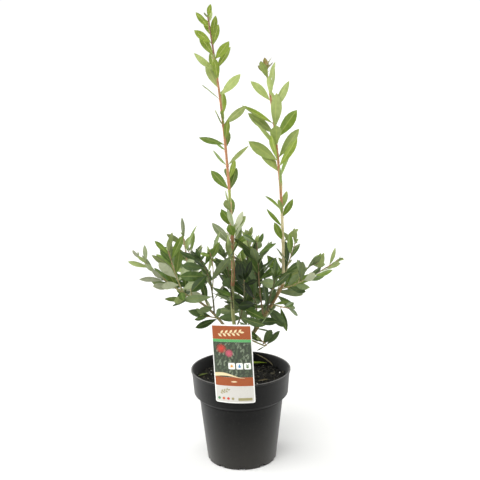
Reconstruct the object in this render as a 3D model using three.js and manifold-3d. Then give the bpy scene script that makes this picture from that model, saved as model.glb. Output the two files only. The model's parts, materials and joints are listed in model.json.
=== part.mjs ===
// A young bottlebrush shrub in its nursery pot: a short trunk forks low into four limbs, and leafy
// shoots grow on from them. Two long shoots stand far above the rest. A picture label hangs on a
// loop round the stems, in front of the rim.
// Millimetres, +Z up, +X to the right of the label, -Y towards whoever reads it. The origin is the
// centre of the pot's flat underside.
import * as THREE from 'three';
import Module from 'manifold-3d';
import { mergeVertices } from 'three/addons/utils/BufferGeometryUtils.js';

const wasm = await Module();
wasm.setup();

const gap = 0.3; // between any two pieces that meet

// ---------------------------------------------------------------- driving dimensions

const pot = {
  height: 170,
  rimRadius: 90,
  lipHeight: 4,
  lipOver: 1.2, // how far the lip stands out past the collar
  collarFoot: 120, // where the collar ends above the foot
  collarFootRadius: 84.8,
  bodyTop: 111.5, // the shoulder runs from here out to the collar
  bodyTopRadius: 75.5,
  footRadius: 62.7,
  wall: 1.8,
  floor: 2.6,
  sides: 56,
};
const drain = { count: 10, width: 11, height: 4.5, depth: 9 }; // notches round the foot's edge

const mix = { top: 152, atWall: 149, flatRadius: 24 }; // the potting mix

const label = {
  width: 68.6,
  foot: 139, // height of its bottom edge
  height: 141,
  thick: 0.6,
  faceRadius: 91, // its back stands this far from the pot's axis, just clear of the lip
  azimuth: -7.5, // degrees round from the front, to the left
  leanLeft: 5.6, // the top is this far left of the bottom
  bulgeFoot: 6.4, // the bottom edge follows the rim's curve
  bulgeTop: 1.2,
};
const loop = {
  high: 11, // the loop is a flat band of the label's own plastic
  thick: 0.7,
  halfWidth: 20,
  front: -89,
  back: 24,
  frontX: -8,
  backX: 8,
  frontZ: 228,
  backZ: 206,
  stations: 32,
};

// Limbs and shoots are curves through three points, with a radius at the foot and at the tip.
const trunk = {
  name: 'trunk', foot: [2, 0, mix.top + gap], mid: [1, 0, 177], tip: [0, 0, 203],
  thick: [5.4, 4.6], flare: 2.6,
};
const fork = trunk.tip;
const limbs = [
  { name: 'left_limb', foot: fork, mid: [-12, -6, 266], tip: [-11, -8, 345], thick: [3.6, 3.1] },
  { name: 'right_limb', foot: fork, mid: [39, 6, 257], tip: [78, 8, 323], thick: [4, 3] },
  { name: 'low_left_limb', foot: fork, mid: [-44, -12, 273], tip: [-88, -14, 308], thick: [2.8, 2] },
  { name: 'back_limb', foot: fork, mid: [7, 14, 228], tip: [11, 26, 255], thick: [2.6, 2.2] },
];

// A leaf is obovate: widest past its middle, narrowing to a short stalk. Shares of its length and
// of its half width.
const leafForm = {
  shoulder: { along: 0.36, wide: 0.8 },
  widest: { along: 0.7, wide: 0.95 },
  rib: 0.56, // where the midrib stands highest
  thick: 0.022, // share of the length
  stalk: 0.4, // half height of the root, millimetres
};

// What every shoot has unless its own row says otherwise: angles in degrees, lengths as shares.
const usual = {
  node: null, // the mass that a twig belongs to, when that isn't its own
  thick: [1.5, 0.8],
  from: 0.12, // where along the stem the first leaf sits
  crowd: 1.1, // above 1 the leaves stand closer towards the tip
  turn: 137.5, // from each leaf to the next, round the stem
  open: 52, // a leaf's angle off the stem at the foot
  close: 30, // and at the tip
  roll: 70, // how far a blade is turned about its own rib
  slim: 0.32, // width over length
  arch: 0.05, // how far the tip bends back, over length
  footLeaf: 0.8, // leaf length at the foot, at fullAt and at the tip
  fullAt: 0.45,
  tipLeaf: 0.6,
  bare: null, // a stretch that has dropped its leaves
  place: 0.05, // spreads: the whole range of what a leaf's own seed may add
  swing: 140,
  opening: 45,
  rolling: 110,
  length: 0.5,
  width: 0.25,
  bend: 0.1,
};

// A shoot grows from a share of the way along its parent, through mid, to tip. Each leaf has its own seed.
const shoots = [
  {
    name: 'tall_shoot_left', parent: 'left_limb', at: 1, mid: [-20, -13, 564], tip: [-46, -10, 786],
    thick: [3.1, 1.3], leaves: 36, leaf: 43, roll: 80, phase: 160, open: 56, close: 28,
    from: 0.17, swing: 200, opening: 50, footLeaf: 0.72, fullAt: 0.5,
    seeds: [3860, 7435, 8122, 1900, 5455, 4171, 7011, 660, 2950, 899, 5257, 7220, 202, 1091, 5792, 9046,
      9614, 4702, 5187, 2946, 5442, 5805, 9952, 8801, 4422, 7155, 1562, 3666, 3571, 1691, 9618, 2317,
      9024, 2428, 205, 5937],
  },
  {
    name: 'tall_shoot_right', parent: 'right_limb', at: 1, mid: [72.5, 12, 513], tip: [49.5, 14, 706],
    thick: [2.9, 1.5], slim: 0.29, leaves: 31, leaf: 54, roll: 80, phase: 80, open: 42,
    close: 24, from: 0.2, crowd: 1.15, place: 0.06, opening: 60, rolling: 140,
    length: 0.6, footLeaf: 0.6, fullAt: 0.62, tipLeaf: 0.36, bare: [0.42, 0.49],
    seeds: [1769, 4136, 7670, 1757, 6048, 6681, 7312, 6609, 3876, 4197, 8892, 1995, 869, 3106, 6479, 6802,
      9987, 3217, 7464, 3732, 9423, 4760, 6800, 2547, 201, 7107, 2850, 5566, 4029, 1549, 6927],
  },
  {
    name: 'left_spur', parent: 'left_limb', at: 0.88, mid: [-10, -21, 385], tip: [-8, -25, 431], leaves: 12,
    leaf: 50, roll: 80, phase: 255,
    seeds: [6195, 9811, 6480, 7135, 243, 1562, 2784, 2893, 9489, 628, 1579, 7058],
  },
  {
    name: 'right_outer', parent: 'right_limb', at: 0.94, mid: [111, -16, 335], tip: [170, -34, 375],
    leaves: 18, leaf: 40, roll: 100, phase: 245, close: 25,
    seeds: [873, 1354, 918, 8537, 4101, 5417, 2911, 1014, 1355, 4476, 5792, 2239, 2949, 3403, 6178, 4882,
      8438, 3326],
  },
  {
    name: 'right_outer_twig', parent: 'right_outer', at: 0.42, mid: [115, -17, 354], tip: [139, -11, 366],
    node: 'right_outer', thick: [1, 0.6], slim: 0.28, leaves: 8, leaf: 40, roll: 60, phase: 215, open: 70,
    seeds: [6707, 8180, 6214, 5406, 5371, 5871, 4332, 6588],
  },
  {
    name: 'right_low', parent: 'right_limb', at: 0.74, mid: [67, -42, 297], tip: [89, -14, 284], leaves: 7,
    leaf: 43, roll: 100, phase: 150, open: 70, rolling: 60,
    seeds: [2297, 5257, 373, 4508, 3262, 4731, 8862],
  },
  {
    name: 'right_lowest', parent: 'right_limb', at: 0.2, mid: [45, -4, 212], tip: [35, -14, 228],
    leaves: 6, leaf: 48, roll: 60, phase: 200, open: 70, close: 25,
    seeds: [1189, 2042, 2048, 8197, 9229, 1064],
  },
  {
    name: 'middle_shoot', parent: 'right_limb', at: 0.54, mid: [34, -17, 337], tip: [31, -44, 411],
    leaves: 20, leaf: 50, roll: 60, phase: 220, close: 40,
    seeds: [3557, 9359, 635, 4422, 4986, 853, 5965, 131, 4866, 5968, 2193, 2482, 2768, 9753, 2172, 7084,
      8071, 4285, 7810, 9068],
  },
  {
    name: 'back_shoot', parent: 'back_limb', at: 1, mid: [15, 39, 322], tip: [15, 55, 394], leaves: 24,
    leaf: 50, roll: 100, phase: 205, open: 70, close: 25,
    seeds: [3699, 1048, 5209, 5853, 2302, 9177, 3590, 6930, 9215, 8683, 9824, 1670, 8494, 6736, 5596,
      5708, 9214, 472, 609, 7830, 5260, 156, 2893, 3342],
  },
  {
    name: 'left_outer', parent: 'low_left_limb', at: 1, mid: [-126, -39, 344], tip: [-171, -49, 391],
    leaves: 16, leaf: 43, roll: 30, phase: 285, close: 25,
    seeds: [4744, 3943, 9598, 7688, 8971, 7613, 8718, 9525, 7964, 5963, 1702, 229, 3617, 7146, 1762, 1350],
  },
  {
    name: 'left_front', parent: 'left_outer', at: 0.14, mid: [-110, -33, 352], tip: [-123, -19, 393],
    node: 'left_outer', leaves: 14, leaf: 46, roll: 100, phase: 180, close: 25,
    seeds: [3460, 4905, 9746, 1254, 3489, 9454, 8764, 1436, 972, 9403, 7460, 4038, 5309, 7091],
  },
  {
    name: 'left_upright', parent: 'low_left_limb', at: 0.96, mid: [-91, 14, 348], tip: [-100, 33, 407],
    leaves: 14, leaf: 50, roll: 100, phase: 15, open: 60, close: 25,
    seeds: [4247, 6286, 2221, 4068, 6513, 8151, 1501, 8571, 500, 5821, 6846, 7820, 6400, 8440],
  },
  {
    name: 'left_back', parent: 'low_left_limb', at: 0.62, mid: [-76, 44, 322], tip: [-93, 68, 373],
    leaves: 14, leaf: 50, roll: 40, phase: 115, close: 40,
    seeds: [1419, 9359, 2608, 3483, 5392, 1046, 5411, 4711, 7124, 2740, 8716, 8184, 2029, 3813],
  },
  {
    name: 'left_near', parent: 'low_left_limb', at: 0.52, mid: [-50, -47, 339], tip: [-63, -74, 388],
    leaves: 14, leaf: 50, roll: 100, phase: 90, open: 70, close: 50,
    seeds: [8041, 2031, 2590, 9911, 1519, 1726, 4791, 4839, 9051, 4878, 8780, 2777, 3843, 4498],
  },
  {
    name: 'left_near_twig', parent: 'left_near', at: 0.36, mid: [-45, -54, 369], tip: [-50, -65, 400],
    node: 'left_near', thick: [1.1, 0.6], leaves: 8, leaf: 49, roll: 100, phase: 280, open: 60, close: 50,
    seeds: [5251, 2699, 6479, 1233, 7090, 4651, 6860, 431],
  },
  {
    name: 'left_lowest', parent: 'low_left_limb', at: 0.42, mid: [-43, -24, 272], tip: [-62, -33, 278],
    leaves: 6, leaf: 38, roll: 80, phase: 230, close: 25,
    seeds: [5918, 6833, 4752, 7926, 844, 9489],
  },
  {
    name: 'front_mid', parent: 'left_limb', at: 0.33, mid: [5, -44, 297], tip: [7, -90, 358], leaves: 16,
    leaf: 50, roll: 80, phase: 50,
    seeds: [2524, 9684, 4005, 3151, 8942, 8927, 4988, 2538, 6833, 2283, 3216, 9361, 4814, 997, 4007, 3616],
  },
  {
    name: 'front_right', parent: 'right_limb', at: 0.64, mid: [50, -38, 303], tip: [61, -72, 355],
    leaves: 12, leaf: 50, roll: 60, phase: 165, open: 45,
    seeds: [8556, 7090, 6466, 5666, 8938, 8569, 6675, 6786, 4294, 4648, 895, 4309],
  },
  {
    name: 'inner_right', parent: 'right_limb', at: 0.3, mid: [29, -33, 287], tip: [20, -35, 321],
    leaves: 13, leaf: 50, roll: 30, phase: 235, open: 70,
    seeds: [2343, 2592, 7431, 375, 6037, 7720, 4080, 8136, 4117, 7931, 3315, 7142, 1786],
  },
  {
    name: 'left_inner', parent: 'left_limb', at: 0.58, mid: [-17, -27, 337], tip: [-24, -47, 386],
    leaves: 12, leaf: 50, roll: 100, phase: 5, open: 45, close: 25,
    seeds: [5265, 5795, 9343, 4040, 4870, 4252, 7043, 3891, 4691, 7576, 5308, 4437],
  },
  {
    name: 'centre_shoot', parent: 'back_limb', at: 0.5, mid: [27, 6, 296], tip: [26, 6, 368], leaves: 15,
    leaf: 50, roll: 80, phase: 315, close: 25,
    seeds: [6448, 2736, 1256, 7270, 8290, 8312, 7481, 3531, 3554, 9484, 7027, 7945, 2657, 1450, 8635],
  },
  {
    name: 'back_mid', parent: 'back_limb', at: 0.8, mid: [-1, 62, 287], tip: [-13, 106, 344], leaves: 16,
    leaf: 50, roll: 80, phase: 20, open: 45, close: 50,
    seeds: [740, 9483, 5355, 5916, 4995, 6283, 1531, 833, 8821, 9311, 5663, 500, 7799, 6914, 6385, 2868],
  },
  {
    name: 'back_right', parent: 'right_limb', at: 0.84, mid: [72, 44, 309], tip: [90, 87, 339], leaves: 14,
    leaf: 48, roll: 100, phase: 65, open: 60, close: 50,
    seeds: [7944, 9319, 2156, 7080, 5867, 1146, 1239, 6206, 4003, 7702, 5726, 5709, 7282, 4986],
  },
  {
    name: 'right_spur', parent: 'tall_shoot_right', at: 0.02, mid: [88, 11, 362], tip: [99, 4, 398],
    node: 'tall_shoot_right', thick: [1.1, 0.6], slim: 0.3, leaves: 9, leaf: 47, roll: 30, phase: 40,
    open: 70,
    seeds: [5405, 6565, 3877, 9568, 5964, 8667, 6552, 1488, 8297],
  },
  {
    name: 'left_low_tip', parent: 'left_outer', at: 0.04, mid: [-90, -14, 304], tip: [-97, -20, 312],
    node: 'left_outer', thick: [1.1, 0.7], leaves: 5, leaf: 39, roll: 100, phase: 55, open: 45,
    seeds: [1050, 8144, 4892, 4824, 8471],
  },
];

// ---------------------------------------------------------------- solids

// One closed solid from a geometry whose faces share their edges.
function solidOf(geometry) {
  geometry.deleteAttribute('normal');
  geometry.deleteAttribute('uv');
  const merged = mergeVertices(geometry, 1e-4);
  return new wasm.Manifold(new wasm.Mesh({
    numProp: 3,
    vertProperties: new Float32Array(merged.attributes.position.array),
    triVerts: new Uint32Array(merged.index.array),
  }));
}

// The same from lists of points and faces, turned right side out.
function solidFrom(points, faces) {
  const build = (list) => {
    const geometry = new THREE.BufferGeometry().setFromPoints(points);
    geometry.setIndex(list.flat());
    return solidOf(geometry);
  };
  const made = build(faces);
  return made.volume() > 0 ? made : build(faces.map(([a, b, c]) => [a, c, b]));
}

function geometryOf(solid) {
  const mesh = solid.getMesh();
  const geometry = new THREE.BufferGeometry();
  geometry.setAttribute('position', new THREE.BufferAttribute(mesh.vertProperties, mesh.numProp));
  geometry.setIndex(new THREE.BufferAttribute(mesh.triVerts, 1));
  geometry.computeVertexNormals();
  return geometry;
}

// A cut can leave crumbs: only the main piece is kept.
function mainPiece(solid) {
  return solid.decompose().sort((a, b) => b.volume() - a.volume())[0];
}

// ---------------------------------------------------------------- curves

const vector = (list) => new THREE.Vector3(...list);

// The curve passes through mid half way along.
function curveOf(stem) {
  const [foot, mid, tip] = [stem.foot, stem.mid, stem.tip].map(vector);
  const pull = mid.clone().multiplyScalar(2).sub(foot.clone().add(tip).divideScalar(2));
  return new THREE.QuadraticBezierCurve3(foot, pull, tip);
}

// Two directions square to a stem that runs along `along`.
function squareTo(along) {
  const upright = Math.abs(along.y) < 0.93;
  const first = along.clone().cross(new THREE.Vector3(0, upright ? 1 : 0, upright ? 0 : 1)).normalize();
  return [first, along.clone().cross(first)];
}

function radiusAt(stem, t) {
  const [atFoot, atTip] = stem.thick;
  return atFoot + (atTip - atFoot) * t + (stem.flare ?? 0) * Math.exp(-9 * t);
}

// A tapering limb with a round section. Grown by some millimetres it is the tool that keeps its
// neighbours clear of it. A flared trunk is cut flat at the ground.
function limbSolid(stem, sides, rings, grow = 0) {
  const curve = curveOf(stem);
  const points = [];
  const faces = [];
  for (let i = 0; i <= rings; i++) {
    const t = i / rings;
    const along = stem.flare ? new THREE.Vector3(0, 0, 1) : curve.getTangent(t);
    const [first, second] = squareTo(along);
    const past = i % rings === 0 ? grow * Math.sign(t - 0.5) : 0; // a grown tool is longer at both ends
    const centre = curve.getPoint(t).addScaledVector(along, past);
    const radius = radiusAt(stem, t) + grow;
    for (let j = 0; j < sides; j++) {
      const turn = (2 * Math.PI * j) / sides;
      points.push(centre.clone()
        .addScaledVector(first, radius * Math.cos(turn))
        .addScaledVector(second, radius * Math.sin(turn)));
    }
  }
  for (let i = 0; i < rings; i++) {
    for (let j = 0; j < sides; j++) {
      const [a, b] = [i * sides + j, i * sides + ((j + 1) % sides)];
      faces.push([a, b, b + sides], [a, b + sides, a + sides]);
    }
  }
  for (let j = 1; j < sides - 1; j++) {
    const last = rings * sides;
    faces.push([0, j + 1, j], [last, last + j, last + j + 1]);
  }
  return solidFrom(points, faces);
}

// ---------------------------------------------------------------- the seeded rule of the leaves

const rad = THREE.MathUtils.degToRad;

// Even draws from -0.5 to 0.5, always the same for one seed.
function diceOf(seed) {
  const [factor, limit] = [16807, 2147483647];
  let state = (seed * 7919) % limit;
  const draw = () => {
    state = (state * factor) % limit;
    return state / limit - 0.5;
  };
  draw();
  draw();
  return draw;
}

// Leaves are longest part of the way up a shoot.
function lengthShare(shoot, u) {
  const { footLeaf, fullAt, tipLeaf } = shoot;
  return u < fullAt
    ? footLeaf + (1 - footLeaf) * Math.sin((u / fullAt) * Math.PI / 2)
    : tipLeaf + (1 - tipLeaf) * Math.cos(((u - fullAt) / (1 - fullAt)) * Math.PI / 2);
}

// Where each leaf of a shoot sits, which way it points and how large it is.
function leavesOf(shoot) {
  const curve = curveOf(shoot);
  const leaves = [];
  for (let k = 0; k < shoot.leaves; k++) {
    const draw = diceOf(shoot.seeds[k]);
    const [place, swing, opening, length, rolling, form] = Array.from({ length: 6 }, draw);
    const u = k / (shoot.leaves - 1);
    const climb = 1 - (1 - u) ** shoot.crowd;
    const t = Math.min(1, Math.max(0, shoot.from + (1 - shoot.from) * climb + place * shoot.place));
    if (shoot.bare && t > shoot.bare[0] && t < shoot.bare[1]) continue;
    const along = curve.getTangent(t);
    const [first, second] = squareTo(along);
    const azimuth = rad(shoot.phase) + k * rad(shoot.turn) + swing * rad(shoot.swing);
    const away = first.multiplyScalar(Math.cos(azimuth)).addScaledVector(second, Math.sin(azimuth));
    const lean = rad(shoot.open + (shoot.close - shoot.open) * u + opening * shoot.opening);
    const out = along.clone().multiplyScalar(Math.cos(lean)).addScaledVector(away, Math.sin(lean));
    const flat = along.clone().cross(out).normalize();
    const face = out.clone().cross(flat);
    const roll = rad(shoot.roll + rolling * shoot.rolling);
    const wide = flat.multiplyScalar(Math.cos(roll)).addScaledVector(face, Math.sin(roll));
    const long = shoot.leaf * lengthShare(shoot, u) * (1 + length * shoot.length);
    leaves.push({
      root: curve.getPoint(t),
      out,
      wide,
      up: out.clone().cross(wide),
      long,
      halfWidth: (long * shoot.slim * (1 + form * shoot.width)) / 2,
      arch: shoot.arch + form * shoot.bend,
    });
  }
  return leaves;
}

// The corners of a leaf's solid: root above and below, the two shoulders, the two widest points,
// the tip, and the midrib above and below. Grown, it is the space that other leaves keep out of.
function leafCorners(leaf, grow = 0) {
  const { shoulder, widest, rib, thick, stalk } = leafForm;
  const at = (along, side, height) => leaf.root.clone()
    .addScaledVector(leaf.out, along * leaf.long)
    .addScaledVector(leaf.wide, side * (leaf.halfWidth + grow))
    .addScaledVector(leaf.up, height - leaf.arch * leaf.long * along * along);
  const half = (thick * leaf.long) / 2 + grow;
  return [
    at(0, 0, stalk + grow), at(0, 0, -stalk - grow),
    at(shoulder.along, shoulder.wide, 0), at(shoulder.along, -shoulder.wide, 0),
    at(widest.along, widest.wide, 0), at(widest.along, -widest.wide, 0),
    at(1 + grow / leaf.long, 0, 0), at(rib, 0, half), at(rib, 0, -half),
  ];
}
const leafFaces = [
  [7, 0, 3], [7, 3, 5], [7, 5, 6], [7, 6, 4], [7, 4, 2], [7, 2, 0],
  [8, 3, 1], [8, 5, 3], [8, 6, 5], [8, 4, 6], [8, 2, 4], [8, 1, 2],
  [0, 1, 3], [1, 0, 2],
];
const leafEdges = [];
for (const face of leafFaces) {
  face.forEach((a, i) => {
    const b = face[(i + 1) % 3];
    if (a < b) leafEdges.push([a, b]);
  });
}

// ---------------------------------------------------------------- keeping leaves apart

// True where the segment from p to q passes through the triangle a, b, c.
function pierces(p, q, a, b, c) {
  const way = q.clone().sub(p);
  const [side, other] = [b.clone().sub(a), c.clone().sub(a)];
  const square = way.clone().cross(other);
  const scale = side.dot(square);
  if (Math.abs(scale) < 1e-9) return false;
  const from = p.clone().sub(a);
  const u = from.dot(square) / scale;
  if (u < 0 || u > 1) return false;
  const turned = from.cross(side);
  const v = way.dot(turned) / scale;
  if (v < 0 || u + v > 1) return false;
  const t = other.dot(turned) / scale;
  return t >= 0 && t <= 1;
}

function crosses(edges, faces) {
  return edges.some(([p, q]) => faces.some(([a, b, c]) => pierces(p, q, a, b, c)));
}

// The least distance between segments p-q and r-s.
function apart(p, q, r, s) {
  const [d1, d2, w] = [q.clone().sub(p), s.clone().sub(r), p.clone().sub(r)];
  const [a, e, f, c, b] = [d1.dot(d1), d2.dot(d2), d2.dot(w), d1.dot(w), d1.dot(d2)];
  const clamp = (x) => Math.min(1, Math.max(0, x));
  const spread = a * e - b * b;
  let t1 = spread > 1e-9 ? clamp((b * f - c * e) / spread) : 0;
  let t2 = (b * t1 + f) / e;
  if (t2 < 0 || t2 > 1) {
    t2 = clamp(t2);
    t1 = clamp((b * t2 - c) / a);
  }
  return p.clone().addScaledVector(d1, t1).distanceTo(r.clone().addScaledVector(d2, t2));
}

// What a placed leaf or stem keeps for the tests.
function claimLeaf(leaf, grow = 0) {
  const corners = leafCorners(leaf, grow);
  return {
    centre: leaf.root.clone().addScaledVector(leaf.out, leaf.long / 2),
    reach: leaf.long * 0.56 + grow,
    edges: leafEdges.map(([a, b]) => [corners[a], corners[b]]),
    faces: leafFaces.map((face) => face.map((i) => corners[i])),
  };
}
function claimStem(stem) {
  const curve = curveOf(stem);
  const pieces = 24;
  return Array.from({ length: pieces }, (_, i) => ({
    name: stem.name,
    from: curve.getPoint(i / pieces),
    to: curve.getPoint((i + 1) / pieces),
    radius: radiusAt(stem, (i + 0.5) / pieces),
  }));
}

const clearance = 0.4; // how much a leaf is grown before it is tried for room
function hasRoom(leaf, shootName, leafClaims, stemClaims, keepOut) {
  const grown = claimLeaf(leaf, clearance);
  if (grown.edges.some(([p]) => keepOut.containsPoint(p))) return false;
  for (const { name, from, to, radius } of stemClaims) {
    if (name === shootName || grown.centre.distanceTo(from) > grown.reach + 25) continue;
    if (grown.edges.some(([p, q]) => apart(p, q, from, to) < radius + gap)) return false;
    if (crosses([[from, to]], grown.faces)) return false;
  }
  return !leafClaims.some((other) => grown.centre.distanceTo(other.centre) < grown.reach + other.reach
    && (crosses(grown.edges, other.faces) || crosses(other.edges, grown.faces)));
}

// ---------------------------------------------------------------- the made pieces

// A solid of revolution from [radius, height] pairs that start and end on the axis.
function turned(profile, sides = pot.sides) {
  return solidOf(new THREE.LatheGeometry(profile.map(([r, z]) => new THREE.Vector2(r, z)), sides)
    .rotateX(Math.PI / 2));
}

// The pot's outer radius at a height, which the inside follows one wall further in.
function potRadius(z) {
  const corners = [
    [pot.footRadius, 0], [pot.bodyTopRadius, pot.bodyTop],
    [pot.collarFootRadius, pot.collarFoot], [pot.rimRadius - pot.lipOver, pot.height],
  ];
  const above = Math.max(1, corners.findIndex(([, level]) => z <= level));
  const [[r0, z0], [r1, z1]] = [corners[above - 1], corners[above]];
  return r0 + ((r1 - r0) * (z - z0)) / (z1 - z0);
}

function potSolid() {
  const { height, rimRadius, collarFoot, bodyTop, wall, floor } = pot;
  const lipFoot = height - pot.lipHeight;
  const inner = (z) => [potRadius(z) - wall, z];
  const outer = (z) => [potRadius(z), z];
  const shell = turned([
    [0, 0], [pot.footRadius - 1, 0], outer(1), outer(bodyTop), outer(collarFoot), outer(lipFoot),
    [rimRadius, lipFoot + 0.8], [rimRadius, height - 0.6], [rimRadius - 0.6, height],
    [rimRadius - 2.2, height], inner(lipFoot), inner(collarFoot + 1), inner(bodyTop + 1),
    inner(floor + 1.5), [potRadius(floor) - wall - 1.5, floor], [0, floor],
  ]);
  const notches = Array.from({ length: drain.count }, (_, i) => solidOf(
    new THREE.BoxGeometry(2 * drain.depth, drain.width, 2 * drain.height)
      .translate(pot.footRadius, 0, 0)
      .rotateZ((2 * Math.PI * (i + 0.5)) / drain.count),
  ));
  return notches.reduce((body, notch) => body.subtract(notch), shell);
}

function mixSolid() {
  const inside = (z) => [potRadius(z) - pot.wall - gap, z];
  const low = Math.max(pot.floor, drain.height) + 1;
  return turned([
    [0, pot.floor + gap], [pot.footRadius - drain.depth - pot.wall - 1.5, pot.floor + gap],
    [pot.footRadius - drain.depth - pot.wall - 1.5, low], inside(low + 1), inside(pot.bodyTop + 1),
    inside(pot.collarFoot + 1), inside(mix.atWall), [mix.flatRadius, mix.top], [0, mix.top],
  ]);
}

// A bent card: across it s runs from -1 to 1, up it h runs from 0 to 1.
function labelPoint(s, h, depth) {
  const turn = rad(label.azimuth);
  const outward = new THREE.Vector3(Math.sin(turn), -Math.cos(turn), 0);
  const across = new THREE.Vector3(Math.cos(turn), Math.sin(turn), 0);
  const bulge = label.bulgeFoot + (label.bulgeTop - label.bulgeFoot) * h;
  return outward.multiplyScalar(label.faceRadius + depth - bulge * s * s)
    .addScaledVector(across, (s * label.width) / 2 - label.leanLeft * (h - 0.3))
    .setZ(label.foot + label.height * h);
}

function labelSolid() {
  const [columns, rows] = [10, 4];
  const points = [];
  const faces = [];
  for (const depth of [0, label.thick]) {
    for (let j = 0; j <= rows; j++) {
      for (let i = 0; i <= columns; i++) points.push(labelPoint((2 * i) / columns - 1, j / rows, depth));
    }
  }
  const at = (i, j, side) => side * (rows + 1) * (columns + 1) + j * (columns + 1) + i;
  const quad = (a, b, c, d) => faces.push([a, b, c], [a, c, d]);
  for (let j = 0; j < rows; j++) {
    for (let i = 0; i < columns; i++) {
      quad(at(i, j, 0), at(i, j + 1, 0), at(i + 1, j + 1, 0), at(i + 1, j, 0));
      quad(at(i, j, 1), at(i + 1, j, 1), at(i + 1, j + 1, 1), at(i, j + 1, 1));
    }
    quad(at(0, j, 0), at(0, j, 1), at(0, j + 1, 1), at(0, j + 1, 0));
    quad(at(columns, j, 1), at(columns, j, 0), at(columns, j + 1, 0), at(columns, j + 1, 1));
  }
  for (let i = 0; i < columns; i++) {
    quad(at(i, 0, 1), at(i, 0, 0), at(i + 1, 0, 0), at(i + 1, 0, 1));
    quad(at(i, rows, 0), at(i, rows, 1), at(i + 1, rows, 1), at(i + 1, rows, 0));
  }
  return solidFrom(points, faces);
}

// The loop is an oval band on edge, low behind the stems and high where it meets the label.
function loopSolid() {
  const points = [];
  const faces = [];
  const mix01 = (a, b, share) => a + (b - a) * share;
  const centreLine = (turn, out) => {
    const share = (1 - Math.cos(turn)) / 2; // 0 at the label, 1 behind the stems
    const x = mix01(loop.frontX, loop.backX, share) + (loop.halfWidth + out) * Math.sin(turn);
    const y = mix01(loop.front - out, loop.back + out, share);
    return new THREE.Vector3(x, y, mix01(loop.frontZ, loop.backZ, share));
  };
  for (let i = 0; i < loop.stations; i++) {
    const turn = (2 * Math.PI * i) / loop.stations;
    for (const [out, lift] of [[0, -1], [1, -1], [1, 1], [0, 1]]) {
      const point = centreLine(turn, out * loop.thick);
      points.push(point.setZ(point.z + (lift * loop.high) / 2));
    }
  }
  for (let i = 0; i < loop.stations; i++) {
    const next = (i + 1) % loop.stations;
    for (let j = 0; j < 4; j++) {
      const [a, b, c, d] = [i * 4 + j, next * 4 + j, next * 4 + ((j + 1) % 4), i * 4 + ((j + 1) % 4)];
      faces.push([a, b, c], [a, c, d]);
    }
  }
  return solidFrom(points, faces);
}

// ---------------------------------------------------------------- the scene graph

const plant = new THREE.Group();

function addPart(name, solid, material) {
  const mesh = new THREE.Mesh(geometryOf(solid), material);
  mesh.name = name;
  plant.add(mesh);
}

const finish = (color, roughness) => new THREE.MeshStandardMaterial({ color, roughness, metalness: 0 });
const plastic = finish(0x2b2c2d, 0.55);
const bark = finish(0x8a6f52, 0.85);
const foliage = finish(0x4f6b33, 0.6);
const compost = finish(0x1e1813, 0.95);
const card = finish(0xf1f0ea, 0.4);

addPart('pot', potSolid(), plastic);
addPart('potting_mix', mixSolid(), compost);
addPart('label_panel', labelSolid(), card);
addPart('label_loop', loopSolid(), card);

// Trunk and limbs: each is cut clear of those before it where they meet at the fork.
const stems = new Map([[trunk.name, trunk]]);
addPart(trunk.name, limbSolid(trunk, 12, 6), bark);
const limbTools = [limbSolid(trunk, 12, 6, gap)];
for (const limb of limbs) {
  const cut = limbTools.reduce((body, tool) => body.subtract(tool), limbSolid(limb, 8, 8));
  addPart(limb.name, mainPiece(cut), bark);
  limbTools.push(limbSolid(limb, 8, 8, gap));
  stems.set(limb.name, limb);
}

// Each shoot's foot lies on its parent's axis. Rows take what they leave out from the usual values.
const rows = shoots.map((row) => {
  const foot = curveOf(stems.get(row.parent)).getPoint(row.at).toArray();
  const shoot = { ...usual, ...row, node: row.node ?? row.name, foot };
  stems.set(shoot.name, shoot);
  return shoot;
});

// Stems first, so that every leaf can keep clear of all of them.
const stemClaims = [...stems.values()].flatMap(claimStem);
const stemTools = [...limbTools];
const masses = new Map();
for (const shoot of rows) {
  const twigs = masses.get(shoot.node) ?? [];
  const cutters = shoot.node === shoot.name ? stemTools : limbTools;
  const stem = cutters.reduce((body, tool) => body.subtract(tool), limbSolid(shoot, 3, 7));
  twigs.push(mainPiece(stem));
  masses.set(shoot.node, twigs);
  stemTools.push(limbSolid(shoot, 3, 7, gap));
}

const labelSpace = new THREE.Box3().setFromPoints([
  labelPoint(-1, 0, 4), labelPoint(1, 1, 4), labelPoint(0, 1, -8),
]);
const leafClaims = [];
for (const shoot of rows) {
  for (const leaf of leavesOf(shoot)) {
    if (!hasRoom(leaf, shoot.name, leafClaims, stemClaims, labelSpace)) continue;
    leafClaims.push(claimLeaf(leaf));
    masses.get(shoot.node).push(solidFrom(leafCorners(leaf), leafFaces));
  }
}
for (const [name, pieces] of masses) addPart(name, mainPiece(wasm.Manifold.union(pieces)), foliage);

export default plant;
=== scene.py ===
import json
import math

import bmesh
import bpy
import numpy as np
from mathutils import Matrix, Vector, noise

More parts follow.
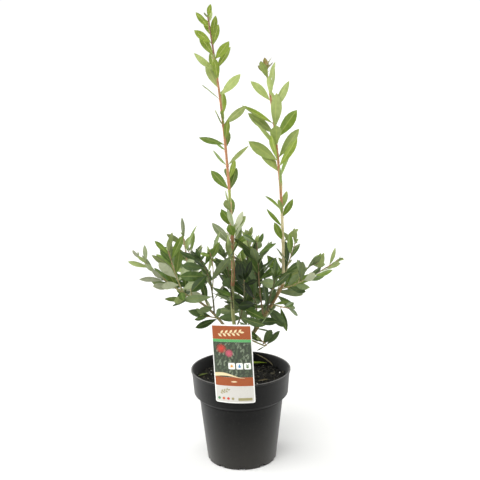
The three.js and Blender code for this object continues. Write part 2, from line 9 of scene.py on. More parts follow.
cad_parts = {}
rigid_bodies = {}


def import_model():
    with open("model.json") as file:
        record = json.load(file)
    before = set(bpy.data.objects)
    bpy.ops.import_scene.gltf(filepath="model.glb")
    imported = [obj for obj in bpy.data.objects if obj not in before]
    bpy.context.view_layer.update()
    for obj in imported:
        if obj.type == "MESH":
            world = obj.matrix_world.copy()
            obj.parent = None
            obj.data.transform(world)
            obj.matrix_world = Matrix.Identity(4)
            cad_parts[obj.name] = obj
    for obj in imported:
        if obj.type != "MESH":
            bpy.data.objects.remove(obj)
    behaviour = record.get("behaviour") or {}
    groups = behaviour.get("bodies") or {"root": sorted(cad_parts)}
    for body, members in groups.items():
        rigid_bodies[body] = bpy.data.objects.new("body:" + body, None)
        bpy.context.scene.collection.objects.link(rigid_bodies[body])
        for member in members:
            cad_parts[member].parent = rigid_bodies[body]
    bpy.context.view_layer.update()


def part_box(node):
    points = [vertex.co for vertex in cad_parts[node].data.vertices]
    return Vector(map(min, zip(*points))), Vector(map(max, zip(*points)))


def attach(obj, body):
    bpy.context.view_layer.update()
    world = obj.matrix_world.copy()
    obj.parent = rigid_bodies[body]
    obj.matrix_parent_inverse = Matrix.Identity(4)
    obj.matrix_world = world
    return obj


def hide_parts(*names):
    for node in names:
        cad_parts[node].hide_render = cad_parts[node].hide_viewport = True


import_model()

# A young bottlebrush shrub in a black nursery pot with a picture label. Sizes are in millimetres up to the
# meshes, which are in metres. +Z is up, the label faces -Y, and the origin is the middle of the underside.
mm = 0.001
scene = bpy.context.scene


def linear(hexColour):
    channels = [int(hexColour[i:i + 2], 16) / 255 for i in (1, 3, 5)]
    curved = [c / 12.92 if c <= 0.04045 else ((c + 0.055) / 1.055) ** 2.4 for c in channels]
    return (*curved, 1.0)


def addNode(tree, kind, inputs=None, out=None, **settings):
    made = tree.nodes.new(kind)
    for name, value in settings.items():
        setattr(made, name, value)
    for name, value in (inputs or {}).items():
        if isinstance(value, bpy.types.NodeSocket):
            tree.links.new(value, made.inputs[name])
        else:
            made.inputs[name].default_value = value
    return made if out is None else made.outputs[out]


def addPiece(name, mesh):
    piece = bpy.data.objects.new(name, mesh)
    scene.collection.objects.link(piece)
    return piece


def meshOf(name, points, faces=(), edges=()):
    mesh = bpy.data.meshes.new(name)
    mesh.from_pydata([tuple(p) for p in points], list(edges), [tuple(f) for f in faces])
    mesh.update()
    return mesh


def smooth(mesh, sharpAbove=None):
    mesh.shade_smooth()
    if sharpAbove is not None:
        mesh.set_sharp_from_angle(angle=math.radians(sharpAbove))
    return mesh


def keepAttribute(mesh, name, kind, values, domain='POINT'):
    made = mesh.attributes.new(name, kind, domain)
    field = 'vector' if kind == 'FLOAT_VECTOR' else 'value'
    made.data.foreach_set(field, np.asarray(values, dtype=np.float32).ravel())


def facingOut(mesh):
    shape = bmesh.new()
    shape.from_mesh(mesh)
    bmesh.ops.remove_doubles(shape, verts=shape.verts, dist=1e-7)
    bmesh.ops.recalc_face_normals(shape, faces=shape.faces)
    shape.to_mesh(mesh)
    shape.free()
    return mesh


def turnedMesh(name, profile, segments, unitSize=mm):
    points, faces, ringStarts = [], [], []
    for r, z in profile:
        ringStarts.append(len(points))
        count = 1 if r < 1e-6 else segments
        for j in range(count):
            turn = 2 * math.pi * j / segments
            points.append((r * math.cos(turn) * unitSize, r * math.sin(turn) * unitSize, z * unitSize))
    ringStarts.append(len(points))
    for i in range(len(profile) - 1):
        a, b = ringStarts[i], ringStarts[i + 1]
        oneA, oneB = ringStarts[i + 1] - a == 1, ringStarts[i + 2] - b == 1
        for j in range(segments):
            k = (j + 1) % segments
            if oneA:
                faces.append((a, b + k, b + j))
            elif oneB:
                faces.append((a + j, a + k, b))
            else:
                faces.append((a + j, a + k, b + k, b + j))
    return facingOut(meshOf(name, points, faces))


socketKinds = {'float': 'NodeSocketFloat', 'int': 'NodeSocketInt', 'object': 'NodeSocketObject',
               'material': 'NodeSocketMaterial'}


def newTree(name, sizes):
    tree = bpy.data.node_groups.new(name, 'GeometryNodeTree')
    tree.interface.new_socket('Geometry', in_out='INPUT', socket_type='NodeSocketGeometry')
    for label, kind in sizes.items():
        tree.interface.new_socket(label, in_out='INPUT', socket_type=socketKinds[kind])
    tree.interface.new_socket('Geometry', in_out='OUTPUT', socket_type='NodeSocketGeometry')
    return tree, tree.nodes.new('NodeGroupInput').outputs, tree.nodes.new('NodeGroupOutput').inputs


def bakeTree(piece, tree, values, drop=()):
    modifier = piece.modifiers.new(tree.name, 'NODES')
    modifier.node_group = tree
    for item in tree.interface.items_tree:
        if item.in_out == 'INPUT' and item.name in values:
            modifier[item.identifier] = values[item.name]
    bpy.context.view_layer.update()
    sources = bpy.context.evaluated_depsgraph_get()
    baked = bpy.data.meshes.new_from_object(piece.evaluated_get(sources), depsgraph=sources)
    piece.modifiers.clear()
    piece.data = baked
    for name in drop:
        if name in baked.attributes:
            baked.attributes.remove(baked.attributes[name])
    return piece


leafAttributes = {'leafOut': 'FLOAT_VECTOR', 'leafWide': 'FLOAT_VECTOR', 'leafUp': 'FLOAT_VECTOR',
                  'leafSize': 'FLOAT_VECTOR', 'leafBend': 'FLOAT_VECTOR', 'bendShare': 'FLOAT_VECTOR',
                  'underside': 'BOOLEAN'}


def buildLeafTree():
    # One leaf on each point, laid along its own axes, then swayed, arched and twisted along its length.
    tree, given, result = newTree('leavesOnPoints', {
        'Leaf': 'object', 'Bend': 'float', 'Blade': 'material', 'Underside': 'material'})
    own = {name: addNode(tree, 'GeometryNodeInputNamedAttribute', {'Name': name}, 'Attribute',
                         data_type=kind) for name, kind in leafAttributes.items()}
    leaf = addNode(tree, 'GeometryNodeObjectInfo', {'Object': given['Leaf']}, 'Geometry')
    turn = addNode(tree, 'FunctionNodeAxesToRotation', {
        'Primary Axis': own['leafOut'], 'Secondary Axis': own['leafWide']}, 0,
        primary_axis='X', secondary_axis='Y')
    placed = addNode(tree, 'GeometryNodeInstanceOnPoints', {
        'Points': given['Geometry'], 'Instance': leaf, 'Rotation': turn, 'Scale': own['leafSize']}, 0)
    real = addNode(tree, 'GeometryNodeRealizeInstances', {'Geometry': placed}, 0)
    bend = addNode(tree, 'ShaderNodeVectorMath', {
        0: own['leafBend'], 1: own['bendShare']}, 0, operation='MULTIPLY')
    bend = addNode(tree, 'ShaderNodeVectorMath', {0: bend, 'Scale': given['Bend']}, 0, operation='SCALE')
    ways = addNode(tree, 'ShaderNodeSeparateXYZ', {0: bend})
    lift = addNode(tree, 'ShaderNodeMath', {0: ways.outputs['Y'], 1: ways.outputs['Z']}, 0, operation='ADD')
    lifted = addNode(tree, 'ShaderNodeVectorMath', {0: own['leafUp'], 'Scale': lift}, 0, operation='SCALE')
    offset = addNode(tree, 'ShaderNodeVectorMath', {
        0: own['leafWide'], 1: ways.outputs['X'], 2: lifted}, 0, operation='MULTIPLY_ADD')
    bent = addNode(tree, 'GeometryNodeSetPosition', {'Geometry': real, 'Offset': offset}, 0)
    above = addNode(tree, 'GeometryNodeSetMaterial', {'Geometry': bent, 'Material': given['Blade']}, 0)
    below = addNode(tree, 'GeometryNodeSetMaterial', {
        'Geometry': above, 'Selection': own['underside'], 'Material': given['Underside']}, 0)
    tree.links.new(below, result['Geometry'])
    return tree


def reliefOffset(tree, given, stretch):
    # Ridges that run up the stem: noise drawn out along Z, moved along the surface's own normal.
    place = addNode(tree, 'GeometryNodeInputPosition', None, 0)
    drawnOut = addNode(tree, 'ShaderNodeVectorMath', {0: place, 1: (1, 1, stretch)}, 0, operation='MULTIPLY')
    grain = addNode(tree, 'ShaderNodeTexNoise', {
        'Vector': drawnOut, 'W': given['Seed'], 'Scale': given['Relief size'], 'Detail': 4.0,
        'Roughness': 0.6}, 0, noise_dimensions='4D')
    centred = addNode(tree, 'ShaderNodeMath', {0: grain, 1: 0.5}, 0, operation='SUBTRACT')
    height = addNode(tree, 'ShaderNodeMath', {0: centred, 1: given['Relief depth']}, 0, operation='MULTIPLY')
    normal = addNode(tree, 'GeometryNodeInputNormal', None, 0)
    return addNode(tree, 'ShaderNodeVectorMath', {0: normal, 'Scale': height}, 0, operation='SCALE')


def buildStemTree():
    # A round stem along each line of edges, as thick as the line's own radius, with its bark's relief.
    tree, given, result = newTree('stemsOnLines', {
        'Sides': 'int', 'Relief depth': 'float', 'Relief size': 'float', 'Seed': 'float',
        'Bark': 'material'})
    line = addNode(tree, 'GeometryNodeMeshToCurve', {'Mesh': given['Geometry']}, 0)
    ring = addNode(tree, 'GeometryNodeCurvePrimitiveCircle', {
        'Resolution': given['Sides'], 'Radius': 1.0}, 0)
    radius = addNode(tree, 'GeometryNodeInputNamedAttribute', {
        'Name': 'stemRadius'}, 'Attribute', data_type='FLOAT')
    tube = addNode(tree, 'GeometryNodeCurveToMesh', {
        'Curve': line, 'Profile Curve': ring, 'Scale': radius, 'Fill Caps': True}, 0)
    rough = addNode(tree, 'GeometryNodeSetPosition', {
        'Geometry': tube, 'Offset': reliefOffset(tree, given, 0.35)}, 0)
    shaded = addNode(tree, 'GeometryNodeSetShadeSmooth', {'Geometry': rough, 'Shade Smooth': True}, 0)
    dressed = addNode(tree, 'GeometryNodeSetMaterial', {'Geometry': shaded, 'Material': given['Bark']}, 0)
    tree.links.new(dressed, result['Geometry'])
    return tree


def buildBarkTree():
    tree, given, result = newTree('barkRelief', {
        'Relief depth': 'float', 'Relief size': 'float', 'Seed': 'float', 'Bark': 'material'})
    rough = addNode(tree, 'GeometryNodeSetPosition', {
        'Geometry': given['Geometry'], 'Offset': reliefOffset(tree, given, 0.3)}, 0)
    shaded = addNode(tree, 'GeometryNodeSetShadeSmooth', {'Geometry': rough, 'Shade Smooth': True}, 0)
    dressed = addNode(tree, 'GeometryNodeSetMaterial', {'Geometry': shaded, 'Material': given['Bark']}, 0)
    tree.links.new(dressed, result['Geometry'])
    return tree


def buildScatterTree():
    # Chips strewn over the upward faces, each turned and sized by its own draw.
    tree, given, result = newTree('chipsOnGround', {
        'Chip': 'object', 'Spacing': 'float', 'Density': 'float', 'Smallest': 'float', 'Largest': 'float',
        'Seed': 'int', 'Finish': 'material'})
    normal = addNode(tree, 'GeometryNodeInputNormal', None, 0)
    height = addNode(tree, 'ShaderNodeSeparateXYZ', {0: normal}, 'Z')
    upward = addNode(tree, 'FunctionNodeCompare', {
        0: height, 1: 0.6}, 0, operation='GREATER_THAN', data_type='FLOAT')
    spread = addNode(tree, 'GeometryNodeDistributePointsOnFaces', {
        'Mesh': given['Geometry'], 'Selection': upward, 'Distance Min': given['Spacing'],
        'Density Max': given['Density'], 'Seed': given['Seed']}, 0, distribute_method='POISSON')
    turn = addNode(tree, 'FunctionNodeRandomValue', {
        0: (-0.9, -0.9, 0.0), 1: (0.9, 0.9, 2 * math.pi), 'Seed': given['Seed']}, 0,
        data_type='FLOAT_VECTOR')   # tilted up to 52 degrees, turned any way
    asRotation = addNode(tree, 'FunctionNodeEulerToRotation', {0: turn}, 0)
    chance = addNode(tree, 'FunctionNodeRandomValue', {
        2: 0.0, 3: 1.0, 'Seed': given['Seed']}, 1, data_type='FLOAT')
    skewed = addNode(tree, 'ShaderNodeMath', {   # many small, few large
        0: chance, 1: 2.4}, 0, operation='POWER')
    size = addNode(tree, 'ShaderNodeMapRange', {
        0: skewed, 'To Min': given['Smallest'], 'To Max': given['Largest']}, 0)
    chip = addNode(tree, 'GeometryNodeObjectInfo', {'Object': given['Chip']}, 'Geometry')
    placed = addNode(tree, 'GeometryNodeInstanceOnPoints', {
        'Points': spread, 'Instance': chip, 'Rotation': asRotation, 'Scale': size}, 0)
    real = addNode(tree, 'GeometryNodeRealizeInstances', {'Geometry': placed}, 0)
    dressed = addNode(tree, 'GeometryNodeSetMaterial', {'Geometry': real, 'Material': given['Finish']}, 0)
    tree.links.new(dressed, result['Geometry'])
    return tree


gap = 0.3            # between pieces that meet
clearance = 0.4      # a leaf is tried for room this much larger all round
stemReach = 25       # stems are looked for this far beyond a leaf's own reach
flareFall = 9        # how soon the trunk's flared foot ends
# The plain leaf that stands for the room a leaf takes, in shares of its length and half width. Only the
# stalk is in millimetres.
leafForm = {'shoulder': (0.36, 0.8), 'widest': (0.7, 0.95), 'rib': 0.56, 'thick': 0.022, 'stalk': 0.4,
            'reach': 0.56}
trunk = {'name': 'trunk', 'foot': (2, 0, 152.3), 'mid': (1, 0, 177), 'tip': (0, 0, 203),
         'thick': (5.4, 4.6), 'flare': 2.6}
fork = trunk['tip']
limbs = [
    {'name': 'left_limb', 'foot': fork, 'mid': (-12, -6, 266), 'tip': (-11, -8, 345), 'thick': (3.6, 3.1)},
    {'name': 'right_limb', 'foot': fork, 'mid': (39, 6, 257), 'tip': (78, 8, 323), 'thick': (4, 3)},
    {'name': 'low_left_limb', 'foot': fork, 'mid': (-44, -12, 273), 'tip': (-88, -14, 308),
     'thick': (2.8, 2)},
    {'name': 'back_limb', 'foot': fork, 'mid': (7, 14, 228), 'tip': (11, 26, 255), 'thick': (2.6, 2.2)},
]
# Angles are in degrees, 'thick' and 'leaf' in millimetres, and the other sizes are shares: of the shoot for
# 'start', 'fullAt', 'bare' and 'place', and of the leaf for the rest. A leaf's seed moves it within the
# spans from 'place' to 'bend', and a shoot's 'seeds' hold one number for each of its leaves.
usual = {
    'node': None, 'thick': (1.5, 0.8), 'start': 0.12, 'crowd': 1.1, 'turn': 137.5, 'open': 52, 'close': 30,
    'roll': 70, 'slim': 0.32, 'arch': 0.05, 'footLeaf': 0.8, 'fullAt': 0.45, 'tipLeaf': 0.6, 'bare': None,
    'place': 0.05, 'swing': 140, 'opening': 45, 'rolling': 110, 'length': 0.5, 'width': 0.25, 'bend': 0.1,
    'tints': ((0.3, 'deep'), (0.8, 'mature'), (1, 'fresh')),
}
# Darker tints at the shoots' feet and on the inner shoots paint the shade inside the crown.
outerTints = ((0.25, 'deep'), (0.6, 'mature'), (1, 'fresh'))
innerTints = ((0.6, 'deep'), (1, 'mature'))
shoots = [
    {'name': 'tall_shoot_left', 'parent': 'left_limb', 'at': 1, 'mid': (-20, -13, 564),
     'tip': (-46, -10, 786), 'thick': (3.1, 1.3), 'leaves': 36, 'leaf': 43, 'roll': 80, 'phase': 160,
     'open': 56, 'close': 28, 'start': 0.17, 'swing': 200, 'opening': 50, 'footLeaf': 0.72, 'fullAt': 0.5,
     'seeds': (3860, 7435, 8122, 1900, 5455, 4171, 7011, 660, 2950, 899, 5257, 7220, 202, 1091, 5792, 9046,
               9614, 4702, 5187, 2946, 5442, 5805, 9952, 8801, 4422, 7155, 1562, 3666, 3571, 1691, 9618,
               2317, 9024, 2428, 205, 5937), 'tints': ((0.45, 'fresh'), (1, 'young'))},
    {'name': 'tall_shoot_right', 'parent': 'right_limb', 'at': 1, 'mid': (72.5, 12, 513),
     'tip': (49.5, 14, 706), 'thick': (2.9, 1.5), 'slim': 0.29, 'leaves': 31, 'leaf': 54, 'roll': 80,
     'phase': 80, 'open': 42, 'close': 24, 'start': 0.2, 'crowd': 1.15, 'place': 0.06, 'opening': 60,
     'rolling': 140, 'length': 0.6, 'footLeaf': 0.6, 'fullAt': 0.62, 'tipLeaf': 0.36, 'bare': (0.42, 0.49),
     'seeds': (1769, 4136, 7670, 1757, 6048, 6681, 7312, 6609, 3876, 4197, 8892, 1995, 869, 3106, 6479, 6802,
               9987, 3217, 7464, 3732, 9423, 4760, 6800, 2547, 201, 7107, 2850, 5566, 4029, 1549, 6927),
     'tints': ((0.75, 'lush'), (1, 'young')), 'tipTint': 'bronze', 'tipFrom': 0.955},
    {'name': 'left_spur', 'parent': 'left_limb', 'at': 0.88, 'mid': (-10, -21, 385), 'tip': (-8, -25, 431),
     'leaves': 12, 'leaf': 50, 'roll': 80, 'phase': 255,
     'seeds': (6195, 9811, 6480, 7135, 243, 1562, 2784, 2893, 9489, 628, 1579, 7058),
     'tints': ((0.4, 'mature'), (0.75, 'fresh'), (1, 'silver'))},
    {'name': 'right_outer', 'parent': 'right_limb', 'at': 0.94, 'mid': (111, -16, 335),
     'tip': (170, -34, 375), 'leaves': 18, 'leaf': 40, 'roll': 100, 'phase': 245, 'close': 25,
     'seeds': (873, 1354, 918, 8537, 4101, 5417, 2911, 1014, 1355, 4476, 5792, 2239, 2949, 3403, 6178, 4882,
               8438, 3326), 'tints': ((0.25, 'deep'), (0.5, 'mature'), (0.75, 'fresh'), (1, 'silver'))},
    {'name': 'right_outer_twig', 'parent': 'right_outer', 'at': 0.42, 'mid': (115, -17, 354),
     'tip': (139, -11, 366), 'node': 'right_outer', 'thick': (1, 0.6), 'slim': 0.28, 'leaves': 8,
     'leaf': 40, 'roll': 60, 'phase': 215, 'open': 70,
     'seeds': (6707, 8180, 6214, 5406, 5371, 5871, 4332, 6588), 'tints': outerTints},
    {'name': 'right_low', 'parent': 'right_limb', 'at': 0.74, 'mid': (67, -42, 297), 'tip': (89, -14, 284),
     'leaves': 7, 'leaf': 43, 'roll': 100, 'phase': 150, 'open': 70, 'rolling': 60,
     'seeds': (2297, 5257, 373, 4508, 3262, 4731, 8862), 'tints': ((0.5, 'fresh'), (1, 'mature'))},
    {'name': 'right_lowest', 'parent': 'right_limb', 'at': 0.2, 'mid': (45, -4, 212), 'tip': (35, -14, 228),
     'leaves': 6, 'leaf': 48, 'roll': 60, 'phase': 200, 'open': 70, 'close': 25,
     'seeds': (1189, 2042, 2048, 8197, 9229, 1064), 'tints': innerTints},
    {'name': 'middle_shoot', 'parent': 'right_limb', 'at': 0.54, 'mid': (34, -17, 337),
     'tip': (31, -44, 411), 'leaves': 20, 'leaf': 50, 'roll': 60, 'phase': 220, 'close': 40,
     'seeds': (3557, 9359, 635, 4422, 4986, 853, 5965, 131, 4866, 5968, 2193, 2482, 2768, 9753, 2172, 7084,
               8071, 4285, 7810, 9068), 'tints': ((0.4, 'deep'), (1, 'mature'))},
    {'name': 'back_shoot', 'parent': 'back_limb', 'at': 1, 'mid': (15, 39, 322), 'tip': (15, 55, 394),
     'leaves': 24, 'leaf': 50, 'roll': 100, 'phase': 205, 'open': 70, 'close': 25,
     'seeds': (3699, 1048, 5209, 5853, 2302, 9177, 3590, 6930, 9215, 8683, 9824, 1670, 8494, 6736, 5596,
               5708, 9214, 472, 609, 7830, 5260, 156, 2893, 3342), 'tints': ((0.6, 'mature'), (1, 'fresh'))},
    {'name': 'left_outer', 'parent': 'low_left_limb', 'at': 1, 'mid': (-126, -39, 344),
     'tip': (-171, -49, 391), 'leaves': 16, 'leaf': 43, 'roll': 30, 'phase': 285, 'close': 25,
     'seeds': (4744, 3943, 9598, 7688, 8971, 7613, 8718, 9525, 7964, 5963, 1702, 229, 3617, 7146, 1762,
               1350), 'tints': ((0.25, 'mature'), (0.6, 'fresh'), (1, 'silver'))},
    {'name': 'left_front', 'parent': 'left_outer', 'at': 0.14, 'mid': (-110, -33, 352),
     'tip': (-123, -19, 393), 'node': 'left_outer', 'leaves': 14, 'leaf': 46, 'roll': 100, 'phase': 180,
     'close': 25,
     'seeds': (3460, 4905, 9746, 1254, 3489, 9454, 8764, 1436, 972, 9403, 7460, 4038, 5309, 7091),
     'tints': ((0.3, 'silver'), (0.5, 'mature'), (1, 'fresh'))},
    {'name': 'left_upright', 'parent': 'low_left_limb', 'at': 0.96, 'mid': (-91, 14, 348),
     'tip': (-100, 33, 407), 'leaves': 14, 'leaf': 50, 'roll': 100, 'phase': 15, 'open': 60, 'close': 25,
     'seeds': (4247, 6286, 2221, 4068, 6513, 8151, 1501, 8571, 500, 5821, 6846, 7820, 6400, 8440),
     'tints': ((0.2, 'deep'), (0.5, 'mature'), (0.8, 'fresh'), (1, 'silver'))},
    {'name': 'left_back', 'parent': 'low_left_limb', 'at': 0.62, 'mid': (-76, 44, 322),
     'tip': (-93, 68, 373), 'leaves': 14, 'leaf': 50, 'roll': 40, 'phase': 115, 'close': 40,
     'seeds': (1419, 9359, 2608, 3483, 5392, 1046, 5411, 4711, 7124, 2740, 8716, 8184, 2029, 3813),
     'tints': ((0.3, 'mature'), (0.6, 'silver'), (1, 'fresh'))},
    {'name': 'left_near', 'parent': 'low_left_limb', 'at': 0.52, 'mid': (-50, -47, 339),
     'tip': (-63, -74, 388), 'leaves': 14, 'leaf': 50, 'roll': 100, 'phase': 90, 'open': 70, 'close': 50,
     'seeds': (8041, 2031, 2590, 9911, 1519, 1726, 4791, 4839, 9051, 4878, 8780, 2777, 3843, 4498),
     'tints': ((0.35, 'silver'), (0.75, 'mature'), (1, 'deep'))},
    {'name': 'left_near_twig', 'parent': 'left_near', 'at': 0.36, 'mid': (-45, -54, 369),
     'tip': (-50, -65, 400), 'node': 'left_near', 'thick': (1.1, 0.6), 'leaves': 8, 'leaf': 49, 'roll': 100,
     'phase': 280, 'open': 60, 'close': 50,
     'seeds': (5251, 2699, 6479, 1233, 7090, 4651, 6860, 431), 'tints': ((0.5, 'mature'), (1, 'fresh'))},
    {'name': 'left_lowest', 'parent': 'low_left_limb', 'at': 0.42, 'mid': (-43, -24, 272),
     'tip': (-62, -33, 278), 'leaves': 6, 'leaf': 38, 'roll': 80, 'phase': 230, 'close': 25,
     'seeds': (5918, 6833, 4752, 7926, 844, 9489), 'tints': innerTints},
    {'name': 'front_mid', 'parent': 'left_limb', 'at': 0.33, 'mid': (5, -44, 297), 'tip': (7, -90, 358),
     'leaves': 16, 'leaf': 50, 'roll': 80, 'phase': 50,
     'seeds': (2524, 9684, 4005, 3151, 8942, 8927, 4988, 2538, 6833, 2283, 3216, 9361, 4814, 997, 4007,
               3616), 'tints': ((0.3, 'mature'), (0.7, 'deep'), (1, 'shade'))},
    {'name': 'front_right', 'parent': 'right_limb', 'at': 0.64, 'mid': (50, -38, 303),
     'tip': (61, -72, 355), 'leaves': 12, 'leaf': 50, 'roll': 60, 'phase': 165, 'open': 45,
     'seeds': (8556, 7090, 6466, 5666, 8938, 8569, 6675, 6786, 4294, 4648, 895, 4309),
     'tints': ((0.35, 'deep'), (1, 'mature'))},
    {'name': 'inner_right', 'parent': 'right_limb', 'at': 0.3, 'mid': (29, -33, 287), 'tip': (20, -35, 321),
     'leaves': 13, 'leaf': 50, 'roll': 30, 'phase': 235, 'open': 70,
     'seeds': (2343, 2592, 7431, 375, 6037, 7720, 4080, 8136, 4117, 7931, 3315, 7142, 1786),
     'tints': ((0.3, 'mature'), (0.7, 'deep'), (1, 'shade'))},
    {'name': 'left_inner', 'parent': 'left_limb', 'at': 0.58, 'mid': (-17, -27, 337),
     'tip': (-24, -47, 386), 'leaves': 12, 'leaf': 50, 'roll': 100, 'phase': 5, 'open': 45, 'close': 25,
     'seeds': (5265, 5795, 9343, 4040, 4870, 4252, 7043, 3891, 4691, 7576, 5308, 4437),
     'tints': ((0.6, 'deep'), (1, 'mature'))},
    {'name': 'centre_shoot', 'parent': 'back_limb', 'at': 0.5, 'mid': (27, 6, 296), 'tip': (26, 6, 368),
     'leaves': 15, 'leaf': 50, 'roll': 80, 'phase': 315, 'close': 25,
     'seeds': (6448, 2736, 1256, 7270, 8290, 8312, 7481, 3531, 3554, 9484, 7027, 7945, 2657, 1450, 8635),
     'tints': ((0.3, 'mature'), (1, 'deep'))},
    {'name': 'back_mid', 'parent': 'back_limb', 'at': 0.8, 'mid': (-1, 62, 287), 'tip': (-13, 106, 344),
     'leaves': 16, 'leaf': 50, 'roll': 80, 'phase': 20, 'open': 45, 'close': 50,
     'seeds': (740, 9483, 5355, 5916, 4995, 6283, 1531, 833, 8821, 9311, 5663, 500, 7799, 6914, 6385, 2868),
     'tints': outerTints},
    {'name': 'back_right', 'parent': 'right_limb', 'at': 0.84, 'mid': (72, 44, 309), 'tip': (90, 87, 339),
     'leaves': 14, 'leaf': 48, 'roll': 100, 'phase': 65, 'open': 60, 'close': 50,
     'seeds': (7944, 9319, 2156, 7080, 5867, 1146, 1239, 6206, 4003, 7702, 5726, 5709, 7282, 4986),
     'tints': outerTints},
    {'name': 'right_spur', 'parent': 'tall_shoot_right', 'at': 0.02, 'mid': (88, 11, 362),
     'tip': (99, 4, 398), 'node': 'tall_shoot_right', 'thick': (1.1, 0.6), 'slim': 0.3, 'leaves': 9,
     'leaf': 47, 'roll': 30, 'phase': 40, 'open': 70,
     'seeds': (5405, 6565, 3877, 9568, 5964, 8667, 6552, 1488, 8297), 'tints': outerTints},
    {'name': 'left_low_tip', 'parent': 'left_outer', 'at': 0.04, 'mid': (-90, -14, 304),
     'tip': (-97, -20, 312), 'node': 'left_outer', 'thick': (1.1, 0.7), 'leaves': 5, 'leaf': 39,
     'roll': 100, 'phase': 55, 'open': 45,
     'seeds': (1050, 8144, 4892, 4824, 8471), 'tints': outerTints},
]


def unit(vector):
    return vector / np.linalg.norm(vector)


def pointOn(stem, t):
    foot, mid, tip = (np.array(stem[key], float) for key in ('foot', 'mid', 'tip'))
    pull = 2 * mid - (foot + tip) / 2
    return (1 - t) ** 2 * foot + 2 * t * (1 - t) * pull + t * t * tip


def wayOn(stem, t):
    step = 1e-4
    return unit(pointOn(stem, min(1, t + step)) - pointOn(stem, max(0, t - step)))


def squareTo(way):
    first = unit(np.cross(way, (0, 1, 0) if abs(way[1]) < 0.93 else (0, 0, 1)))
    return first, np.cross(way, first)


def radiusOn(stem, t):
    foot, tip = stem['thick']
    return foot + (tip - foot) * t + stem.get('flare', 0) * math.exp(-flareFall * t)


def diceOf(seed):
    # Draws between -0.5 and 0.5, by multiplying and keeping the remainder.
    limit = 2147483647
    state = seed * 7919 % limit

    def draw():
        nonlocal state
        state = state * 16807 % limit
        return state / limit - 0.5

    draw()
    draw()
    return draw


def lengthShare(shoot, u):
    full = shoot['fullAt']
    if u < full:
        return shoot['footLeaf'] + (1 - shoot['footLeaf']) * math.sin(u / full * math.pi / 2)
    return shoot['tipLeaf'] + (1 - shoot['tipLeaf']) * math.cos((u - full) / (1 - full) * math.pi / 2)


def leavesOf(shoot):
    leaves = []
    for k in range(shoot['leaves']):
        draw = diceOf(shoot['seeds'][k])
        place, swing, opening, length, rolling, form = (draw() for _ in range(6))
        u = k / (shoot['leaves'] - 1)
        climb = 1 - (1 - u) ** shoot['crowd']
        t = min(1, max(0, shoot['start'] + (1 - shoot['start']) * climb + place * shoot['place']))
        if shoot['bare'] and shoot['bare'][0] < t < shoot['bare'][1]:
            continue
        way = wayOn(shoot, t)
        first, second = squareTo(way)
        azimuth = math.radians(shoot['phase'] + k * shoot['turn'] + swing * shoot['swing'])
        away = first * math.cos(azimuth) + second * math.sin(azimuth)
        lean = shoot['open'] + (shoot['close'] - shoot['open']) * u + opening * shoot['opening']
        lean = math.radians(lean)
        out = way * math.cos(lean) + away * math.sin(lean)
        flat = unit(np.cross(way, out))
        roll = math.radians(shoot['roll'] + rolling * shoot['rolling'])
        wide = flat * math.cos(roll) + np.cross(out, flat) * math.sin(roll)
        long = shoot['leaf'] * lengthShare(shoot, u) * (1 + length * shoot['length'])
        leaves.append({
            'root': pointOn(shoot, t), 'out': out, 'wide': wide, 'up': np.cross(out, wide), 'long': long,
            'half': long * shoot['slim'] * (1 + form * shoot['width']) / 2,
            'arch': shoot['arch'] + form * shoot['bend'], 't': t, 'draws': (form, rolling, swing)})
    return leaves


leafFaces = np.array([
    (7, 0, 3), (7, 3, 5), (7, 5, 6), (7, 6, 4), (7, 4, 2), (7, 2, 0), (8, 3, 1), (8, 5, 3), (8, 6, 5),
    (8, 4, 6), (8, 2, 4), (8, 1, 2), (0, 1, 3), (1, 0, 2)])
leafEdges = np.array([(a, b) for face in leafFaces for a, b in zip(face, np.roll(face, -1)) if a < b])


def leafCorners(leaf, grow=0):
    along = np.array([0, 0, leafForm['shoulder'][0], leafForm['shoulder'][0], leafForm['widest'][0],
                      leafForm['widest'][0], 1 + grow / leaf['long'], leafForm['rib'], leafForm['rib']])
    side = np.array([0, 0, 1, -1, 0, 0, 0, 0, 0]) * leafForm['shoulder'][1]
    side = side + np.array([0, 0, 0, 0, 1, -1, 0, 0, 0]) * leafForm['widest'][1]
    rib = leafForm['thick'] * leaf['long'] / 2 + grow
    height = np.array([leafForm['stalk'] + grow, -leafForm['stalk'] - grow, 0, 0, 0, 0, 0, rib, -rib])
    height = height - leaf['arch'] * leaf['long'] * along ** 2
    return (leaf['root'] + np.outer(along * leaf['long'], leaf['out'])
            + np.outer(side * (leaf['half'] + grow), leaf['wide']) + np.outer(height, leaf['up']))


def dot(a, b):
    return (a * b).sum(-1)


def crosses(edges, faces):
    # Whether any of the edges runs through any of the three-cornered faces.
    start, way = edges[:, None, 0], (edges[:, 1] - edges[:, 0])[:, None]
    corner = faces[None, :, 0]
    side, other = (faces[:, 1] - faces[:, 0])[None], (faces[:, 2] - faces[:, 0])[None]
    square = np.cross(way, other)
    scale = dot(side, square)
    away = start - corner
    turned = np.cross(away, side)
    with np.errstate(divide='ignore', invalid='ignore'):
        u, v, t = dot(away, square) / scale, dot(way, turned) / scale, dot(other, turned) / scale
    inside = (u >= 0) & (u <= 1) & (v >= 0) & (u + v <= 1) & (t >= 0) & (t <= 1)
    return bool((inside & (abs(scale) > 1e-9)).any())


def leastApart(p, q, r, s):
    # The least distance between the stretches from p to q and from r to s.
    d1, d2, w = q - p, s - r, p - r
    a, e, f, c, b = dot(d1, d1), dot(d2, d2), dot(d2, w), dot(d1, w), dot(d1, d2)
    spread = a * e - b * b
    t1 = np.where(spread > 1e-9, np.clip((b * f - c * e) / np.maximum(spread, 1e-12), 0, 1), 0)
    t2 = (b * t1 + f) / e
    past = (t2 < 0) | (t2 > 1)
    t2 = np.clip(t2, 0, 1)
    t1 = np.where(past, np.clip((b * t2 - c) / a, 0, 1), t1)
    return np.linalg.norm(w + d1 * t1[..., None] - d2 * t2[..., None], axis=-1)


